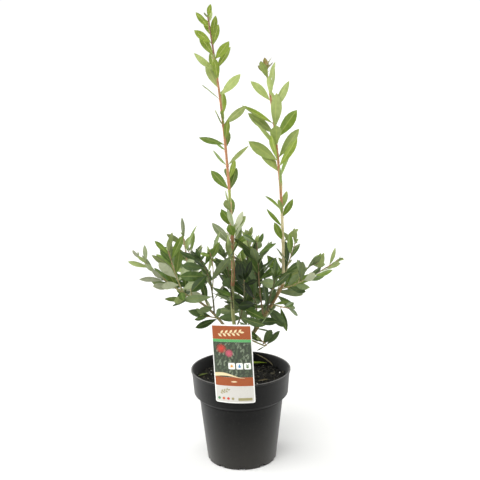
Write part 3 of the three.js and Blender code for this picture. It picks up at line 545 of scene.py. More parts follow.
def claimLeaf(leaf, grow=0):
    corners = leafCorners(leaf, grow)
    return {'centre': leaf['root'] + leaf['out'] * leaf['long'] / 2,
            'reach': leaf['long'] * leafForm['reach'] + grow,
            'edges': corners[leafEdges], 'faces': corners[leafFaces]}


class Room:
    # What is already taken: stems, and leaves as they are placed.
    def __init__(self, keepOut):
        self.keepOut = keepOut
        self.names, self.starts, self.ends, self.radii = [], [], [], []
        self.leaves = []

    def addStem(self, stem, pieces=24):
        for i in range(pieces):
            self.names.append(stem['name'])
            self.starts.append(pointOn(stem, i / pieces))
            self.ends.append(pointOn(stem, (i + 1) / pieces))
            self.radii.append(radiusOn(stem, (i + 0.5) / pieces))

    def hasRoom(self, leaf, shootName):
        grown = claimLeaf(leaf, clearance)
        points = grown['edges'][:, 0]
        low, high = self.keepOut
        if ((points >= low) & (points <= high)).all(axis=1).any():
            return False
        starts, ends = np.array(self.starts), np.array(self.ends)
        near = np.linalg.norm(starts - grown['centre'], axis=1) <= grown['reach'] + stemReach
        near &= np.array(self.names) != shootName
        if near.any():
            starts, ends, radii = starts[near], ends[near], np.array(self.radii)[near]
            tried = grown['edges'][:, None]
            if (leastApart(tried[:, :, 0], tried[:, :, 1], starts[None], ends[None]) < radii + gap).any():
                return False
            if crosses(np.stack([starts, ends], axis=1), grown['faces']):
                return False
        others = [other for other in self.leaves
                  if np.linalg.norm(grown['centre'] - other['centre']) < grown['reach'] + other['reach']]
        if not others:
            return True
        edges, faces = (np.concatenate([other[key] for other in others]) for key in ('edges', 'faces'))
        return not (crosses(grown['edges'], faces) or crosses(edges, grown['faces']))


label = {'width': 68.6, 'foot': 139, 'height': 141, 'thick': 0.6, 'corner': 3, 'faceRadius': 91,
         'azimuth': -7.5, 'leanLeft': 5.6, 'leanFrom': 0.3, 'bulgeFoot': 6.4, 'bulgeTop': 1.2,
         'roomFront': 4, 'roomBehind': 8}


def labelPoint(s, h, depth):
    # s runs from -1 to 1 across the card and h from 0 to 1 up it.
    turn = math.radians(label['azimuth'])
    outward = np.array([math.sin(turn), -math.cos(turn), 0])
    across = np.array([math.cos(turn), math.sin(turn), 0])
    bulge = label['bulgeFoot'] + (label['bulgeTop'] - label['bulgeFoot']) * h
    point = outward * (label['faceRadius'] + depth - bulge * s * s)
    point = point + across * (s * label['width'] / 2 - label['leanLeft'] * (h - label['leanFrom']))
    point[2] = label['foot'] + label['height'] * h
    return point


stems = {trunk['name']: trunk, **{limb['name']: limb for limb in limbs}}
rows = []
for row in shoots:
    grown = {**usual, **row, 'foot': pointOn(stems[row['parent']], row['at'])}
    grown['node'] = grown['node'] or grown['name']
    stems[grown['name']] = grown
    rows.append(grown)

corners = np.array([labelPoint(-1, 0, label['roomFront']), labelPoint(1, 1, label['roomFront']),
                    labelPoint(0, 1, -label['roomBehind'])])
taken = Room((corners.min(axis=0), corners.max(axis=0)))
for stem in stems.values():
    taken.addStem(stem)


tintDrift = 0.6      # how far a draw may move a leaf's tint along its shoot


def tintOf(shoot, t, chance):
    if t >= shoot.get('tipFrom', 2):
        return shoot['tipTint']
    bounds = shoot['tints']
    for upTo, tint in bounds:
        if t + chance * tintDrift <= upTo:
            return tint
    return bounds[-1][1]


facing = {'outward': 0.9, 'upward': 0.5, 'turnedShare': 0.16, 'crownSlim': 0.86, 'tallTones': 0.55}


def faceLight(leaf):
    # Most blades turn their upper side to the light, up and away from the plant's middle.
    light = leaf['root'] * (1, 1, 0)
    light = light / max(np.linalg.norm(light), 1) * facing['outward'] + np.array([0, 0, facing['upward']])
    turned = abs(leaf['draws'][2]) < facing['turnedShare'] / 2
    if (leaf['up'] @ light < 0) != turned:
        leaf.update(wide=-leaf['wide'], up=-leaf['up'], arch=-leaf['arch'])


placedLeaves = []
for shoot in rows:
    for leaf in leavesOf(shoot):
        if taken.hasRoom(leaf, shoot['name']):
            taken.leaves.append(claimLeaf(leaf))
            faceLight(leaf)
            if shoot['name'].startswith('tall'):
                leaf['toneSpread'] = facing['tallTones']
            else:
                leaf['half'] *= facing['crownSlim']
            leaf.update(node=shoot['node'], shoot=shoot, tint=tintOf(shoot, leaf['t'], leaf['draws'][1]))
            placedLeaves.append(leaf)
print('leaves of the source rule:', len(placedLeaves))

# Finer growth within each shoot's own space: side twigs from some leaf axils, buds and axil leaves, and a
# tuft at each tip. One row of draws serves them all.
finerSeed = 41
finerArch = (0.06, 0.1)   # a small leaf's arch, and what its draw adds
spaceOver = 4        # how far finer growth may reach past its mass's box in the frame
innerShoots = ('front_mid', 'inner_right', 'front_right', 'centre_shoot', 'left_inner', 'left_near',
               'back_shoot')
draw = diceOf(finerSeed)


def insideSpace(node, points):
    low, high = (np.array(corner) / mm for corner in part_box(node))
    return (points > low - spaceOver).all() and (points < high + spaceOver).all()


def placeLeaf(leaf, shoot, tint):
    taken.leaves.append(claimLeaf(leaf))
    leaf.update(node=shoot['node'], shoot=shoot, tint=tint)
    placedLeaves.append(leaf)


def smallLeaf(root, way, azimuth, lean, long, slim):
    first, second = squareTo(way)
    away = first * math.cos(azimuth) + second * math.sin(azimuth)
    out = way * math.cos(lean) + away * math.sin(lean)
    wide = unit(np.cross(way, out))
    arch = finerArch[0] + finerArch[1] * draw()
    return {'root': root, 'out': out, 'wide': wide, 'up': np.cross(out, wide), 'long': long,
            'half': long * slim / 2, 'arch': arch, 't': 1, 'draws': (draw(), draw(), draw())}


def rolled(leaf, degrees):
    turn = math.radians(degrees)
    wide = leaf['wide'] * math.cos(turn) + leaf['up'] * math.sin(turn)
    return {**leaf, 'wide': wide, 'up': np.cross(leaf['out'], wide)}


sideTwig = {
    'share': 0.12, 'reach': (16, 28), 'onward': 0.75, 'outward': 0.85, 'astray': 0.5, 'rise': 1.5,
    'fewest': 2, 'tintOn': 0.15, 'seedStep': 131,
    'growth': {'thick': (0.62, 0.36), 'leaves': 5, 'leaf': 29, 'start': 0.3, 'slim': 0.33},
    'noneOn': ('tall_shoot_left', 'tall_shoot_right', 'left_lowest', 'right_lowest', 'right_low',
               'right_outer', 'left_outer', 'left_front', 'right_outer_twig', 'right_spur', 'left_low_tip'),
}
twigs = []
for leaf in list(placedLeaves):
    shoot = leaf['shoot']
    chance, reachDraw, tilt = draw() + 0.5, draw() + 0.5, np.array([draw(), draw(), draw()])
    phase, seed = 360 * draw(), 1000 + int(9000 * (draw() + 0.5))
    if shoot['name'] in sideTwig['noneOn'] or chance > sideTwig['share']:
        continue
    shortest, longest = sideTwig['reach']
    reach = shortest + (longest - shortest) * reachDraw
    way = wayOn(shoot, leaf['t'])
    heading = way * sideTwig['onward'] + leaf['out'] * sideTwig['outward'] + tilt * sideTwig['astray']
    tip = leaf['root'] + unit(heading) * reach
    twig = {**usual, **sideTwig['growth'], 'name': f"{shoot['name']}_side{len(twigs)}",
            'node': shoot['node'], 'phase': phase, 'foot': leaf['root'], 'tip': tip,
            'mid': (leaf['root'] + tip) / 2 + way * sideTwig['rise']}
    twig['seeds'] = [seed + sideTwig['seedStep'] * k for k in range(twig['leaves'])]
    fitting = [small for small in leavesOf(twig)
               if insideSpace(shoot['node'], leafCorners(small)) and taken.hasRoom(small, shoot['name'])]
    if insideSpace(shoot['node'], np.array([tip])) and len(fitting) >= sideTwig['fewest']:
        twigs.append(twig)
        for small in fitting:
            placeLeaf(small, shoot, tintOf(shoot, leaf['t'] + sideTwig['tintOn'], small['draws'][0]))

budForm = {'share': 0.75, 'lean': 0.55, 'sunk': 0.8, 'long': 2.6, 'longer': 1.2, 'half': 0.8}
axilPair = {'share': 0.3, 'leaf': 9, 'longer': 0.6, 'turns': (-0.7, 0.8), 'lean': 0.5, 'slim': 0.3}
buds = []
for leaf in list(placedLeaves):
    shoot, way = leaf['shoot'], wayOn(leaf['shoot'], leaf['t'])
    if leaf['t'] == 1 or draw() + 0.5 > budForm['share']:
        continue
    side = unit(leaf['out'] - way * (leaf['out'] @ way))
    out = unit(way + side * budForm['lean'])
    wide = unit(np.cross(way, out))
    root = leaf['root'] + side * radiusOn(shoot, leaf['t']) * budForm['sunk']
    long = budForm['long'] + budForm['longer'] * draw()
    buds.append({'root': root, 'out': out, 'wide': wide, 'up': np.cross(out, wide), 'long': long,
                 'half': budForm['half'], 'arch': 0, 'draws': (0, 0, 0), 'node': shoot['node']})
    if shoot['name'].startswith('tall') and draw() + 0.5 < axilPair['share']:
        for turn in axilPair['turns']:
            long = axilPair['leaf'] * (1 + axilPair['longer'] * draw())
            azimuth = math.atan2(side @ squareTo(way)[1], side @ squareTo(way)[0]) + turn
            small = smallLeaf(leaf['root'], way, azimuth, axilPair['lean'], long, axilPair['slim'])
            placeLeaf(small, shoot, 'young')

# A tuft's leaves stand round the shoot's tip, each a step lower. With no tint of its own it has the shoot's.
tuft = {'leaves': 5, 'leaf': 11, 'longer': 0.7, 'shorter': 0.05, 'spread': 24, 'spreading': 1.2,
        'turning': 60, 'rolling': 150, 'slim': 0.3, 'step': 0.5, 'skipped': 0, 'tint': 'tip'}
innerTuft = {**tuft, 'leaf': 22, 'tint': None}
bronzeTuft = {**tuft, 'leaves': 20, 'leaf': 18, 'spread': 36, 'slim': 0.2, 'step': 1.2, 'skipped': 2,
              'tint': 'bronze'}
for shoot in rows:
    way, tip = wayOn(shoot, 1), pointOn(shoot, 1)
    form = innerTuft if shoot['name'] in innerShoots else tuft
    if shoot['name'] == 'tall_shoot_right':
        form = bronzeTuft
    for k in range(form['leaves']):
        long = form['leaf'] * (1 + form['longer'] * draw()) * (1 - form['shorter'] * k)
        lean = math.radians(form['spread'] * (1 + form['spreading'] * draw()))
        azimuth = math.radians(usual['turn'] * k + form['turning'] * draw())
        below = form['step'] * (k + form['skipped'])
        small = smallLeaf(tip - way * below, way, azimuth, lean, long, form['slim'])
        small = rolled(small, form['rolling'] * small['draws'][2])
        if insideSpace(shoot['node'], leafCorners(small)[6:7]):
            placeLeaf(small, shoot, form['tint'] or tintOf(shoot, 1, small['draws'][0]))

# Seen from the front these stems stand clear of the crown: leaves that would lie across them are left off.
clear = {'stems': (('left_limb', 0.3, 1), ('tall_shoot_left', 0, 0.05), ('middle_shoot', 0.05, 0.6),
                   ('right_limb', 0.74, 0.92)),
         'front': np.array((0, -0.96, 0.27)), 'near': 6, 'reach': 150, 'points': 40, 'halfWidth': 1.6}
for name, begin, end in clear['stems']:
    sides = (-clear['halfWidth'], clear['halfWidth'])
    points = np.array([pointOn(stems[name], t) + (side, 0, 0)
                       for t in np.linspace(begin, end, clear['points']) for side in sides])
    points = points + clear['front'] * clear['near']
    sightLines = np.stack([points, points + clear['front'] * clear['reach']], axis=1)
    placedLeaves = [leaf for leaf in placedLeaves
                    if leaf['shoot']['name'] == name or not crosses(sightLines, claimLeaf(leaf)['faces'])]
print('leaves:', len(placedLeaves), 'side twigs:', len(twigs), 'buds:', len(buds))


def newMaterial(name, roughness, ior=1.5, **settings):
    material = bpy.data.materials.new(name)
    material.use_nodes = True
    tree = material.node_tree
    shader = tree.nodes['Principled BSDF']
    shader.inputs['Roughness'].default_value = roughness
    shader.inputs['IOR'].default_value = ior
    for setting, value in settings.items():
        shader.inputs[setting.replace('_', ' ')].default_value = value
    place = addNode(tree, 'ShaderNodeTexCoord', None, 'Object')
    return material, tree, shader, place


def leafMaterial(name, blade, shade, rib, roughness):
    # Bottlebrush leaf: leathery, a waxy skin over green flesh, with a pale midrib and a faint mottle.
    material, tree, shader, place = newMaterial(name, roughness, 1.45, Specular_IOR_Level=0.3)
    patches = addNode(tree, 'ShaderNodeTexNoise', {   # about 7 mm
        'Vector': place, 'Scale': 140.0, 'Detail': 3.0}, 0)
    mottle = addNode(tree, 'ShaderNodeMapRange', {0: patches, 1: 0.35, 2: 0.7}, 0)
    colour = addNode(tree, 'ShaderNodeMix', {
        0: mottle, 6: linear(blade), 7: linear(shade)}, 2, data_type='RGBA')
    tone = addNode(tree, 'ShaderNodeAttribute', None, 'Fac', attribute_name='leafTone')
    value = addNode(tree, 'ShaderNodeMapRange', {0: tone, 3: 0.66, 4: 1.38}, 0)
    colour = addNode(tree, 'ShaderNodeHueSaturation', {'Color': colour, 'Value': value}, 0)
    chart = addNode(tree, 'ShaderNodeUVMap', None, 0, uv_map='leafChart')
    across = addNode(tree, 'ShaderNodeSeparateXYZ', {0: chart}, 'X')
    fromRib = addNode(tree, 'ShaderNodeMath', {0: across, 1: 0.5}, 0, operation='SUBTRACT')
    fromRib = addNode(tree, 'ShaderNodeMath', {0: fromRib}, 0, operation='ABSOLUTE')
    onRib = addNode(tree, 'ShaderNodeMapRange', {0: fromRib, 1: 0.02, 2: 0.07, 3: 0.55, 4: 0.0}, 0)
    colour = addNode(tree, 'ShaderNodeMix', {0: onRib, 6: colour, 7: linear(rib)}, 2, data_type='RGBA')
    tree.links.new(colour, shader.inputs['Base Color'])
    glands = addNode(tree, 'ShaderNodeTexNoise', {   # oil dots, 1 mm
        'Vector': place, 'Scale': 900.0, 'Detail': 2.0}, 0)
    dimples = addNode(tree, 'ShaderNodeBump', {'Height': glands, 'Distance': 0.00012, 'Strength': 0.35}, 0)
    tree.links.new(dimples, shader.inputs['Normal'])
    return material


tints = {   # blade, its shade, midrib, underside, underside's shade
    'young': ('#879a38', '#71852c', '#bcc474', '#a0ad6c', '#8f9f5a'),
    'lush': ('#71872f', '#5c7328', '#a8b25c', '#8b9a54', '#7b8b49'),
    'fresh': ('#6c8234', '#587029', '#a3ab62', '#8f9c64', '#7e8c55'),
    # silver: a pale grey-green that paints the sheen of shiny leaves into their colour
    'silver': ('#939e76', '#818d66', '#b4ba98', '#adb295', '#9ca283'),
    'mature': ('#4b6229', '#3b501e', '#8a9550', '#75845a', '#64734b'),
    # deep: a dark green, darkened further as painted shade for leaves inside the crown and at the shoots'
    # feet
    'deep': ('#324818', '#263811', '#66733a', '#4f613a', '#42542f'),
    # shade: painted shade, a near-black green for the innermost leaves
    'shade': ('#19280b', '#111b05', '#465526', '#2e3e19', '#243213'),
    'tip': ('#8d9f55', '#7c8e47', '#c3b584', '#9dab74', '#8c9a63'),
    'bronze': ('#7f8440', '#7a5428', '#b99a62', '#9aa06a', '#80683e'),
}
leafFinishes = {}
for tint, (blade, shade, rib, under, underShade) in tints.items():
    leafFinishes[tint] = (leafMaterial(tint + 'LeafBlade', blade, shade, rib, 0.42),
                          leafMaterial(tint + 'LeafUnderside', under, underShade, rib, 0.6))


def barkMaterial(name, main, streak, fleck, roughness):
    # Young shrub bark: thin, matt and fibrous, streaked along the stem, with small corky flecks.
    material, tree, shader, place = newMaterial(name, roughness, 1.5)
    drawnOut = addNode(tree, 'ShaderNodeVectorMath', {0: place, 1: (1, 1, 0.22)}, 0, operation='MULTIPLY')
    fibres = addNode(tree, 'ShaderNodeTexNoise', {   # 2 mm apart
        'Vector': drawnOut, 'Scale': 520.0, 'Detail': 4.0}, 0)
    streaks = addNode(tree, 'ShaderNodeMapRange', {0: fibres, 1: 0.38, 2: 0.66}, 0)
    spots = addNode(tree, 'ShaderNodeTexNoise', {   # 3 mm apart
        'Vector': place, 'Scale': 330.0, 'Detail': 2.0}, 0)
    flecks = addNode(tree, 'ShaderNodeMapRange', {0: spots, 1: 0.62, 2: 0.7}, 0)
    colour = addNode(tree, 'ShaderNodeMix', {
        0: streaks, 6: linear(main), 7: linear(streak)}, 2, data_type='RGBA')
    colour = addNode(tree, 'ShaderNodeMix', {0: flecks, 6: colour, 7: linear(fleck)}, 2, data_type='RGBA')
    tree.links.new(colour, shader.inputs['Base Color'])
    ridges = addNode(tree, 'ShaderNodeTexNoise', {   # 0.7 mm apart
        'Vector': drawnOut, 'Scale': 1400.0, 'Detail': 3.0}, 0)
    raised = addNode(tree, 'ShaderNodeBump', {'Height': ridges, 'Distance': 0.0002, 'Strength': 0.7}, 0)
    tree.links.new(raised, shader.inputs['Normal'])
    return material


barkColours = {   # bark, its streaks, its flecks, roughness
    'trunkBark': ('#8f845c', '#726844', '#b1a680', 0.8),
    'leftLimbBark': ('#9a9c66', '#7f824d', '#bcbd92', 0.75),
    'rightLimbBark': ('#928254', '#77663f', '#b3a47a', 0.8),
    'lowLimbBark': ('#91825f', '#766848', '#b0a27e', 0.75),
    'backLimbBark': ('#7b7450', '#61593c', '#9d9570', 0.8),
    'rightLimbEndBark': ('#957b50', '#7b643f', '#b49a6e', 0.75),
    'leftLimbEndBark': ('#b67f57', '#9d6b49', '#cda57c', 0.65),
    'greenTwigBark': ('#a09966', '#7e7b4a', '#c0b78c', 0.7),
    'orangeShootBark': ('#b67f57', '#9d6b49', '#cda57c', 0.6),
    'brownShootTipBark': ('#8f6850', '#74523f', '#ab8a6c', 0.6),
    'youngTwigBark': ('#a08a62', '#866b49', '#bda67c', 0.65),
    'rosyTwigBark': ('#a5805c', '#8c684a', '#c0a17e', 0.6),
    'brownTwigBark': ('#8f7a58', '#766144', '#ab9874', 0.65),
    # painted shade: a darker, greener bark for the inner shoots' stems inside the crown
    'shadedInnerTwigBark': ('#565733', '#464529', '#6f6d48', 0.7),
    'tanShootBark': ('#c2ab7c', '#aa9263', '#d2c29a', 0.65),
    'paleShootBark': ('#c6ba90', '#ada178', '#d8cdac', 0.65),
    'leafyShootBark': ('#a9b066', '#959c55', '#c1c488', 0.6),
    'budScales': ('#8a5a34', '#6b4428', '#a97d50', 0.55),
    'dryStraw': ('#857c5e', '#675f47', '#a59b7b', 0.7),
}
barks = {name: barkMaterial(name, *finish) for name, finish in barkColours.items()}


def potPlastic(name, main, flowing, sheen, specular):
    # Recycled polypropylene, injection moulded: near black, satin, with faint flow lines and dusty patches,
    # and painted light from the pale floor that makes it paler towards the foot.
    material, tree, shader, place = newMaterial(name, 0.5, 1.49, Specular_IOR_Level=specular,
                                                Sheen_Weight=sheen, Sheen_Roughness=0.45)
    drawnOut = addNode(tree, 'ShaderNodeVectorMath', {0: place, 1: (1, 1, 0.12)}, 0, operation='MULTIPLY')
    flow = addNode(tree, 'ShaderNodeTexNoise', {   # 17 mm streaks
        'Vector': drawnOut, 'Scale': 60.0, 'Detail': 3.0}, 0)
    flow = addNode(tree, 'ShaderNodeMapRange', {0: flow, 1: 0.3, 2: 0.7}, 0)
    dustAndFloorLight = addNode(tree, 'ShaderNodeTexNoise', {   # patches of 4 mm
        'Vector': place, 'Scale': 240.0, 'Detail': 5.0, 'Roughness': 0.7}, 0)
    dustAndFloorLight = addNode(tree, 'ShaderNodeMapRange', {0: dustAndFloorLight, 1: 0.56, 2: 0.8, 3: 0.0, 4: 0.1}, 0)
    height = addNode(tree, 'ShaderNodeSeparateXYZ', {0: place}, 'Z')
    # painted floor light: paler towards the foot, from nothing at 100 mm to a fifth of the way to pale grey
    paintedFloorLight = addNode(tree, 'ShaderNodeMapRange', {0: height, 1: 0.1, 2: 0.0, 3: 0.0, 4: 0.2}, 0)
    dustAndFloorLight = addNode(tree, 'ShaderNodeMath', {0: dustAndFloorLight, 1: paintedFloorLight}, 0, operation='ADD')
    colour = addNode(tree, 'ShaderNodeMix', {
        0: flow, 6: linear(main), 7: linear(flowing)}, 2, data_type='RGBA')
    # the pale grey that both the dusty patches and the painted floor light mix in
    colour = addNode(tree, 'ShaderNodeMix', {0: dustAndFloorLight, 6: colour, 7: linear('#6b6862')}, 2, data_type='RGBA')
    tree.links.new(colour, shader.inputs['Base Color'])
    satin = addNode(tree, 'ShaderNodeMapRange', {0: flow, 3: 0.44, 4: 0.54}, 0)
    tree.links.new(satin, shader.inputs['Roughness'])
    grain = addNode(tree, 'ShaderNodeTexNoise', {   # 0.5 mm grain
        'Vector': place, 'Scale': 2200.0, 'Detail': 2.0}, 0)
    raised = addNode(tree, 'ShaderNodeBump', {'Height': grain, 'Distance': 0.00004, 'Strength': 0.5}, 0)
    tree.links.new(raised, shader.inputs['Normal'])
    return material


def soilMaterial(name, dark, brown, pale, share):
    # Moist composted bark: near black, crumbly, with lighter flecks.
    material, tree, shader, place = newMaterial(name, 0.85, 1.45)
    crumbs = addNode(tree, 'ShaderNodeTexNoise', {   # crumbs of 2.4 mm
        'Vector': place, 'Scale': 420.0, 'Detail': 5.0, 'Roughness': 0.7}, 0)
    browned = addNode(tree, 'ShaderNodeMapRange', {0: crumbs, 1: 0.4, 2: 0.65}, 0)
    spots = addNode(tree, 'ShaderNodeTexNoise', {   # 4 mm apart
        'Vector': place, 'Scale': 260.0, 'Detail': 2.0}, 0)
    flecks = addNode(tree, 'ShaderNodeMapRange', {0: spots, 1: 1 - share, 2: 1.02 - share}, 0)
    colour = addNode(tree, 'ShaderNodeMix', {
        0: browned, 6: linear(dark), 7: linear(brown)}, 2, data_type='RGBA')
    colour = addNode(tree, 'ShaderNodeMix', {0: flecks, 6: colour, 7: linear(pale)}, 2, data_type='RGBA')
    tree.links.new(colour, shader.inputs['Base Color'])
    raised = addNode(tree, 'ShaderNodeBump', {'Height': crumbs, 'Distance': 0.0012}, 0)
    tree.links.new(raised, shader.inputs['Normal'])
    return material


def inkMaterial(name, main, other):
    # Offset print under a clear film on polypropylene sheet: flat ink with a faint screen of dots, drawn at
    # about 1 mm, which is coarser than a real screen, so that it shows.
    material, tree, shader, place = newMaterial(name, 0.38, 1.49, Coat_Weight=0.2, Coat_Roughness=0.25)
    screen = addNode(tree, 'ShaderNodeTexNoise', {'Vector': place, 'Scale': 900.0, 'Detail': 2.0}, 0)
    screen = addNode(tree, 'ShaderNodeMapRange', {0: screen, 1: 0.4, 2: 0.62}, 0)
    colour = addNode(tree, 'ShaderNodeMix', {
        0: screen, 6: linear(main), 7: linear(other)}, 2, data_type='RGBA')
    tree.links.new(colour, shader.inputs['Base Color'])
    return material


stemForm = {'swell': 0.16, 'swellFall': 0.7, 'swellings': 40, 'sides': 10, 'relief': 0.1, 'grain': 700.0,
            'seed': 5.0, 'tallSteps': (420, 8), 'crownSteps': (100, 6), 'twigSteps': 24}


def linesMesh(name, paths):
    # A line of edges for each stem, a little thicker at the nodes that bear leaves.
    points, edges, radii = [], [], []
    for stem, count in paths:
        begin = len(points)
        for i in range(count + 1):
            t = i / count
            points.append(pointOn(stem, t) * mm)
            swell = sum(stemForm['swell'] * math.exp(-((t - at) * count * stemForm['swellFall']) ** 2)
                        for at in stem.get('nodesAt', ()))
            radii.append(radiusOn(stem, t) * (1 + swell) * mm)
            if i:
                edges.append((begin + i - 1, begin + i))
    mesh = meshOf(name, points, edges=edges)
    keepAttribute(mesh, 'stemRadius', 'FLOAT', radii)
    return mesh


stemTree = buildStemTree()
barkTree = buildBarkTree()
woody = {
    'sides': 24, 'steps': 60, 'voxel': 0.55, 'soften': 0.5, 'softenTimes': 4, 'relief': 0.32, 'grain': 420.0,
    'seed': 3.0, 'sunk': 3.0, 'samples': 50, 'endLead': 0.3,
    'ends': {   # each end's limb, and where its own bark begins
        'right_end': ('right_limb', 0.72), 'left_end': ('left_limb', 0.9)},
    'barks': {'trunk': 'trunkBark', 'left_limb': 'leftLimbBark', 'right_limb': 'rightLimbBark',
              'low_left_limb': 'lowLimbBark', 'back_limb': 'backLimbBark', 'right_end': 'rightLimbEndBark',
              'left_end': 'leftLimbEndBark'},
}


def dealBark(mesh):
    # Each face takes the bark of the stem that it is nearest to.
    lines = {stem['name']: (stem, 0, 1) for stem in (trunk, *limbs)}
    lines.update({name: (stems[limb], begin, 1) for name, (limb, begin) in woody['ends'].items()})
    mesh.materials.clear()
    centres = np.empty(len(mesh.polygons) * 3, dtype=np.float32)
    mesh.polygons.foreach_get('center', centres)
    centres = centres.reshape(-1, 3) / mm
    nearest = np.full(len(centres), np.inf)
    chosen = np.zeros(len(centres), dtype=np.int32)
    for index, (name, (stem, begin, end)) in enumerate(lines.items()):
        mesh.materials.append(barks[woody['barks'][name]])
        for t in np.linspace(begin, end, woody['samples']):
            away = np.linalg.norm(centres - pointOn(stem, t), axis=1) - radiusOn(stem, t)
            closer = away < nearest + (name in woody['ends']) * woody['endLead']
            nearest[closer], chosen[closer] = away[closer], index
    mesh.polygons.foreach_set('material_index', chosen)


def makeBarkFrame():
    # Trunk and limbs are one skin, so that the fork flows.
    sunkTrunk = {**trunk, 'foot': (*trunk['foot'][:2], trunk['foot'][2] - woody['sunk'])}
    lines = [(stem, woody['steps']) for stem in (sunkTrunk, *limbs)]
    piece = addPiece('barkFrame', linesMesh('barkFrame', lines))
    bakeTree(piece, stemTree, {
        'Sides': woody['sides'], 'Relief depth': 0.0, 'Relief size': 1.0, 'Seed': 0.0,
        'Bark': barks['trunkBark']}, drop=('stemRadius',))
    skin = piece.modifiers.new('skin', 'REMESH')
    skin.mode = 'VOXEL'
    skin.voxel_size = woody['voxel'] * mm
    skin.use_smooth_shade = True
    soften = piece.modifiers.new('soften', 'SMOOTH')
    soften.factor = woody['soften']
    soften.iterations = woody['softenTimes']
    bakeTree(piece, barkTree, {
        'Relief depth': woody['relief'] * mm, 'Relief size': woody['grain'], 'Seed': woody['seed'],
        'Bark': barks['trunkBark']})
    dealBark(piece.data)
    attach(piece, 'root')
    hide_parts('trunk', *(limb['name'] for limb in limbs))


makeBarkFrame()

for shoot in rows:
    borne = [leaf['t'] for leaf in placedLeaves if leaf['shoot'] is shoot]
    shoot['nodesAt'] = borne[:stemForm['swellings']]


def splitStem(stem, begin, end):
    cut = {**stem, 'foot': pointOn(stem, begin), 'mid': pointOn(stem, (begin + end) / 2),
           'tip': pointOn(stem, end)}
    cut['thick'] = (radiusOn(stem, begin), radiusOn(stem, end))
    cut['nodesAt'] = [(t - begin) / (end - begin) for t in stem.get('nodesAt', ()) if begin < t < end]
    return cut


def stretchOf(stem, begin, end, steps, fewest):
    return splitStem(stem, begin, end), int(steps * (end - begin)) + fewest


def stemPiece(name, paths, bark, nodes):
    piece = addPiece(name, linesMesh(name, paths))
    bakeTree(piece, stemTree, {
        'Sides': stemForm['sides'], 'Relief depth': stemForm['relief'] * mm,
        'Relief size': stemForm['grain'], 'Seed': stemForm['seed'],
        'Bark': barks[bark]}, drop=('stemRadius',))
    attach(piece, 'root')
    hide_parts(*sorted(nodes))


bands = {   # bark and, for the left and the right tall shoot, the stretch in which it shows
    'tallShootFeet': ('paleShootBark', None, (0, 0.358)),
    'tallShootOrangeFoot': ('orangeShootBark', (0, 0.22), None),
    'tallShootTan': ('tanShootBark', (0.22, 0.3), None),
    'tallShootLeafy': ('leafyShootBark', (0.3, 0.35), None),
    'tallShootStems': ('orangeShootBark', (0.35, 0.86), (0.358, 0.9)),
    'tallShootTops': ('brownShootTipBark', (0.86, 1), (0.9, 1)),
}
tall, crown = rows[:2], rows[2:]
for name, (bark, *stretches) in bands.items():
    parts = [(stem, stretch) for stem, stretch in zip(tall, stretches) if stretch]
    paths = [stretchOf(stem, *stretch, *stemForm['tallSteps']) for stem, stretch in parts]
    stemPiece(name, paths, bark, {stem['node'] for stem, _ in parts})
outer = [shoot for shoot in crown if shoot['name'] not in innerShoots]
crownBands = {   # bark, the shoots it is for, and the stretch of each
    'crownStems': ('greenTwigBark', [shoot for shoot in outer if shoot['name'] != 'middle_shoot'], 0, 0.6),
    'crownMiddles': ('youngTwigBark', outer, 0.6, 0.88),
    'crownTips': ('rosyTwigBark', outer, 0.88, 1),
    'middleStem': ('brownTwigBark', [shoot for shoot in crown if shoot['name'] == 'middle_shoot'], 0, 0.6),
    # The inner shoots' stems take the bark with the painted shade.
    'innerStems': ('shadedInnerTwigBark', [shoot for shoot in crown if shoot['name'] in innerShoots], 0, 1),
}
for name, (bark, chosen, begin, end) in crownBands.items():
    paths = [stretchOf(shoot, begin, end, *stemForm['crownSteps']) for shoot in chosen]
    stemPiece(name, paths, bark, {shoot['node'] for shoot in chosen})
stemPiece('sideTwigs', [(twig, stemForm['twigSteps']) for twig in twigs], 'youngTwigBark',
          {twig['node'] for twig in twigs})
print('stems done')


leafShape = {   # stations along the leaf, and its half width at each as a share of the widest
    'stations': (0, 0.07, 0.18, 0.33, 0.48, 0.62, 0.76, 0.89, 1),
    'width': (0.11, 0.1, 0.36, 0.72, 0.94, 1.0, 0.86, 0.5, 0),
    'columns': (-1, -0.5, 0, 0.5, 1), 'fold': 0.24, 'edge': 0.06, 'thick': 0.13, 'thinning': 0.6,
    'sway': 0.07, 'twist': 0.9,
}


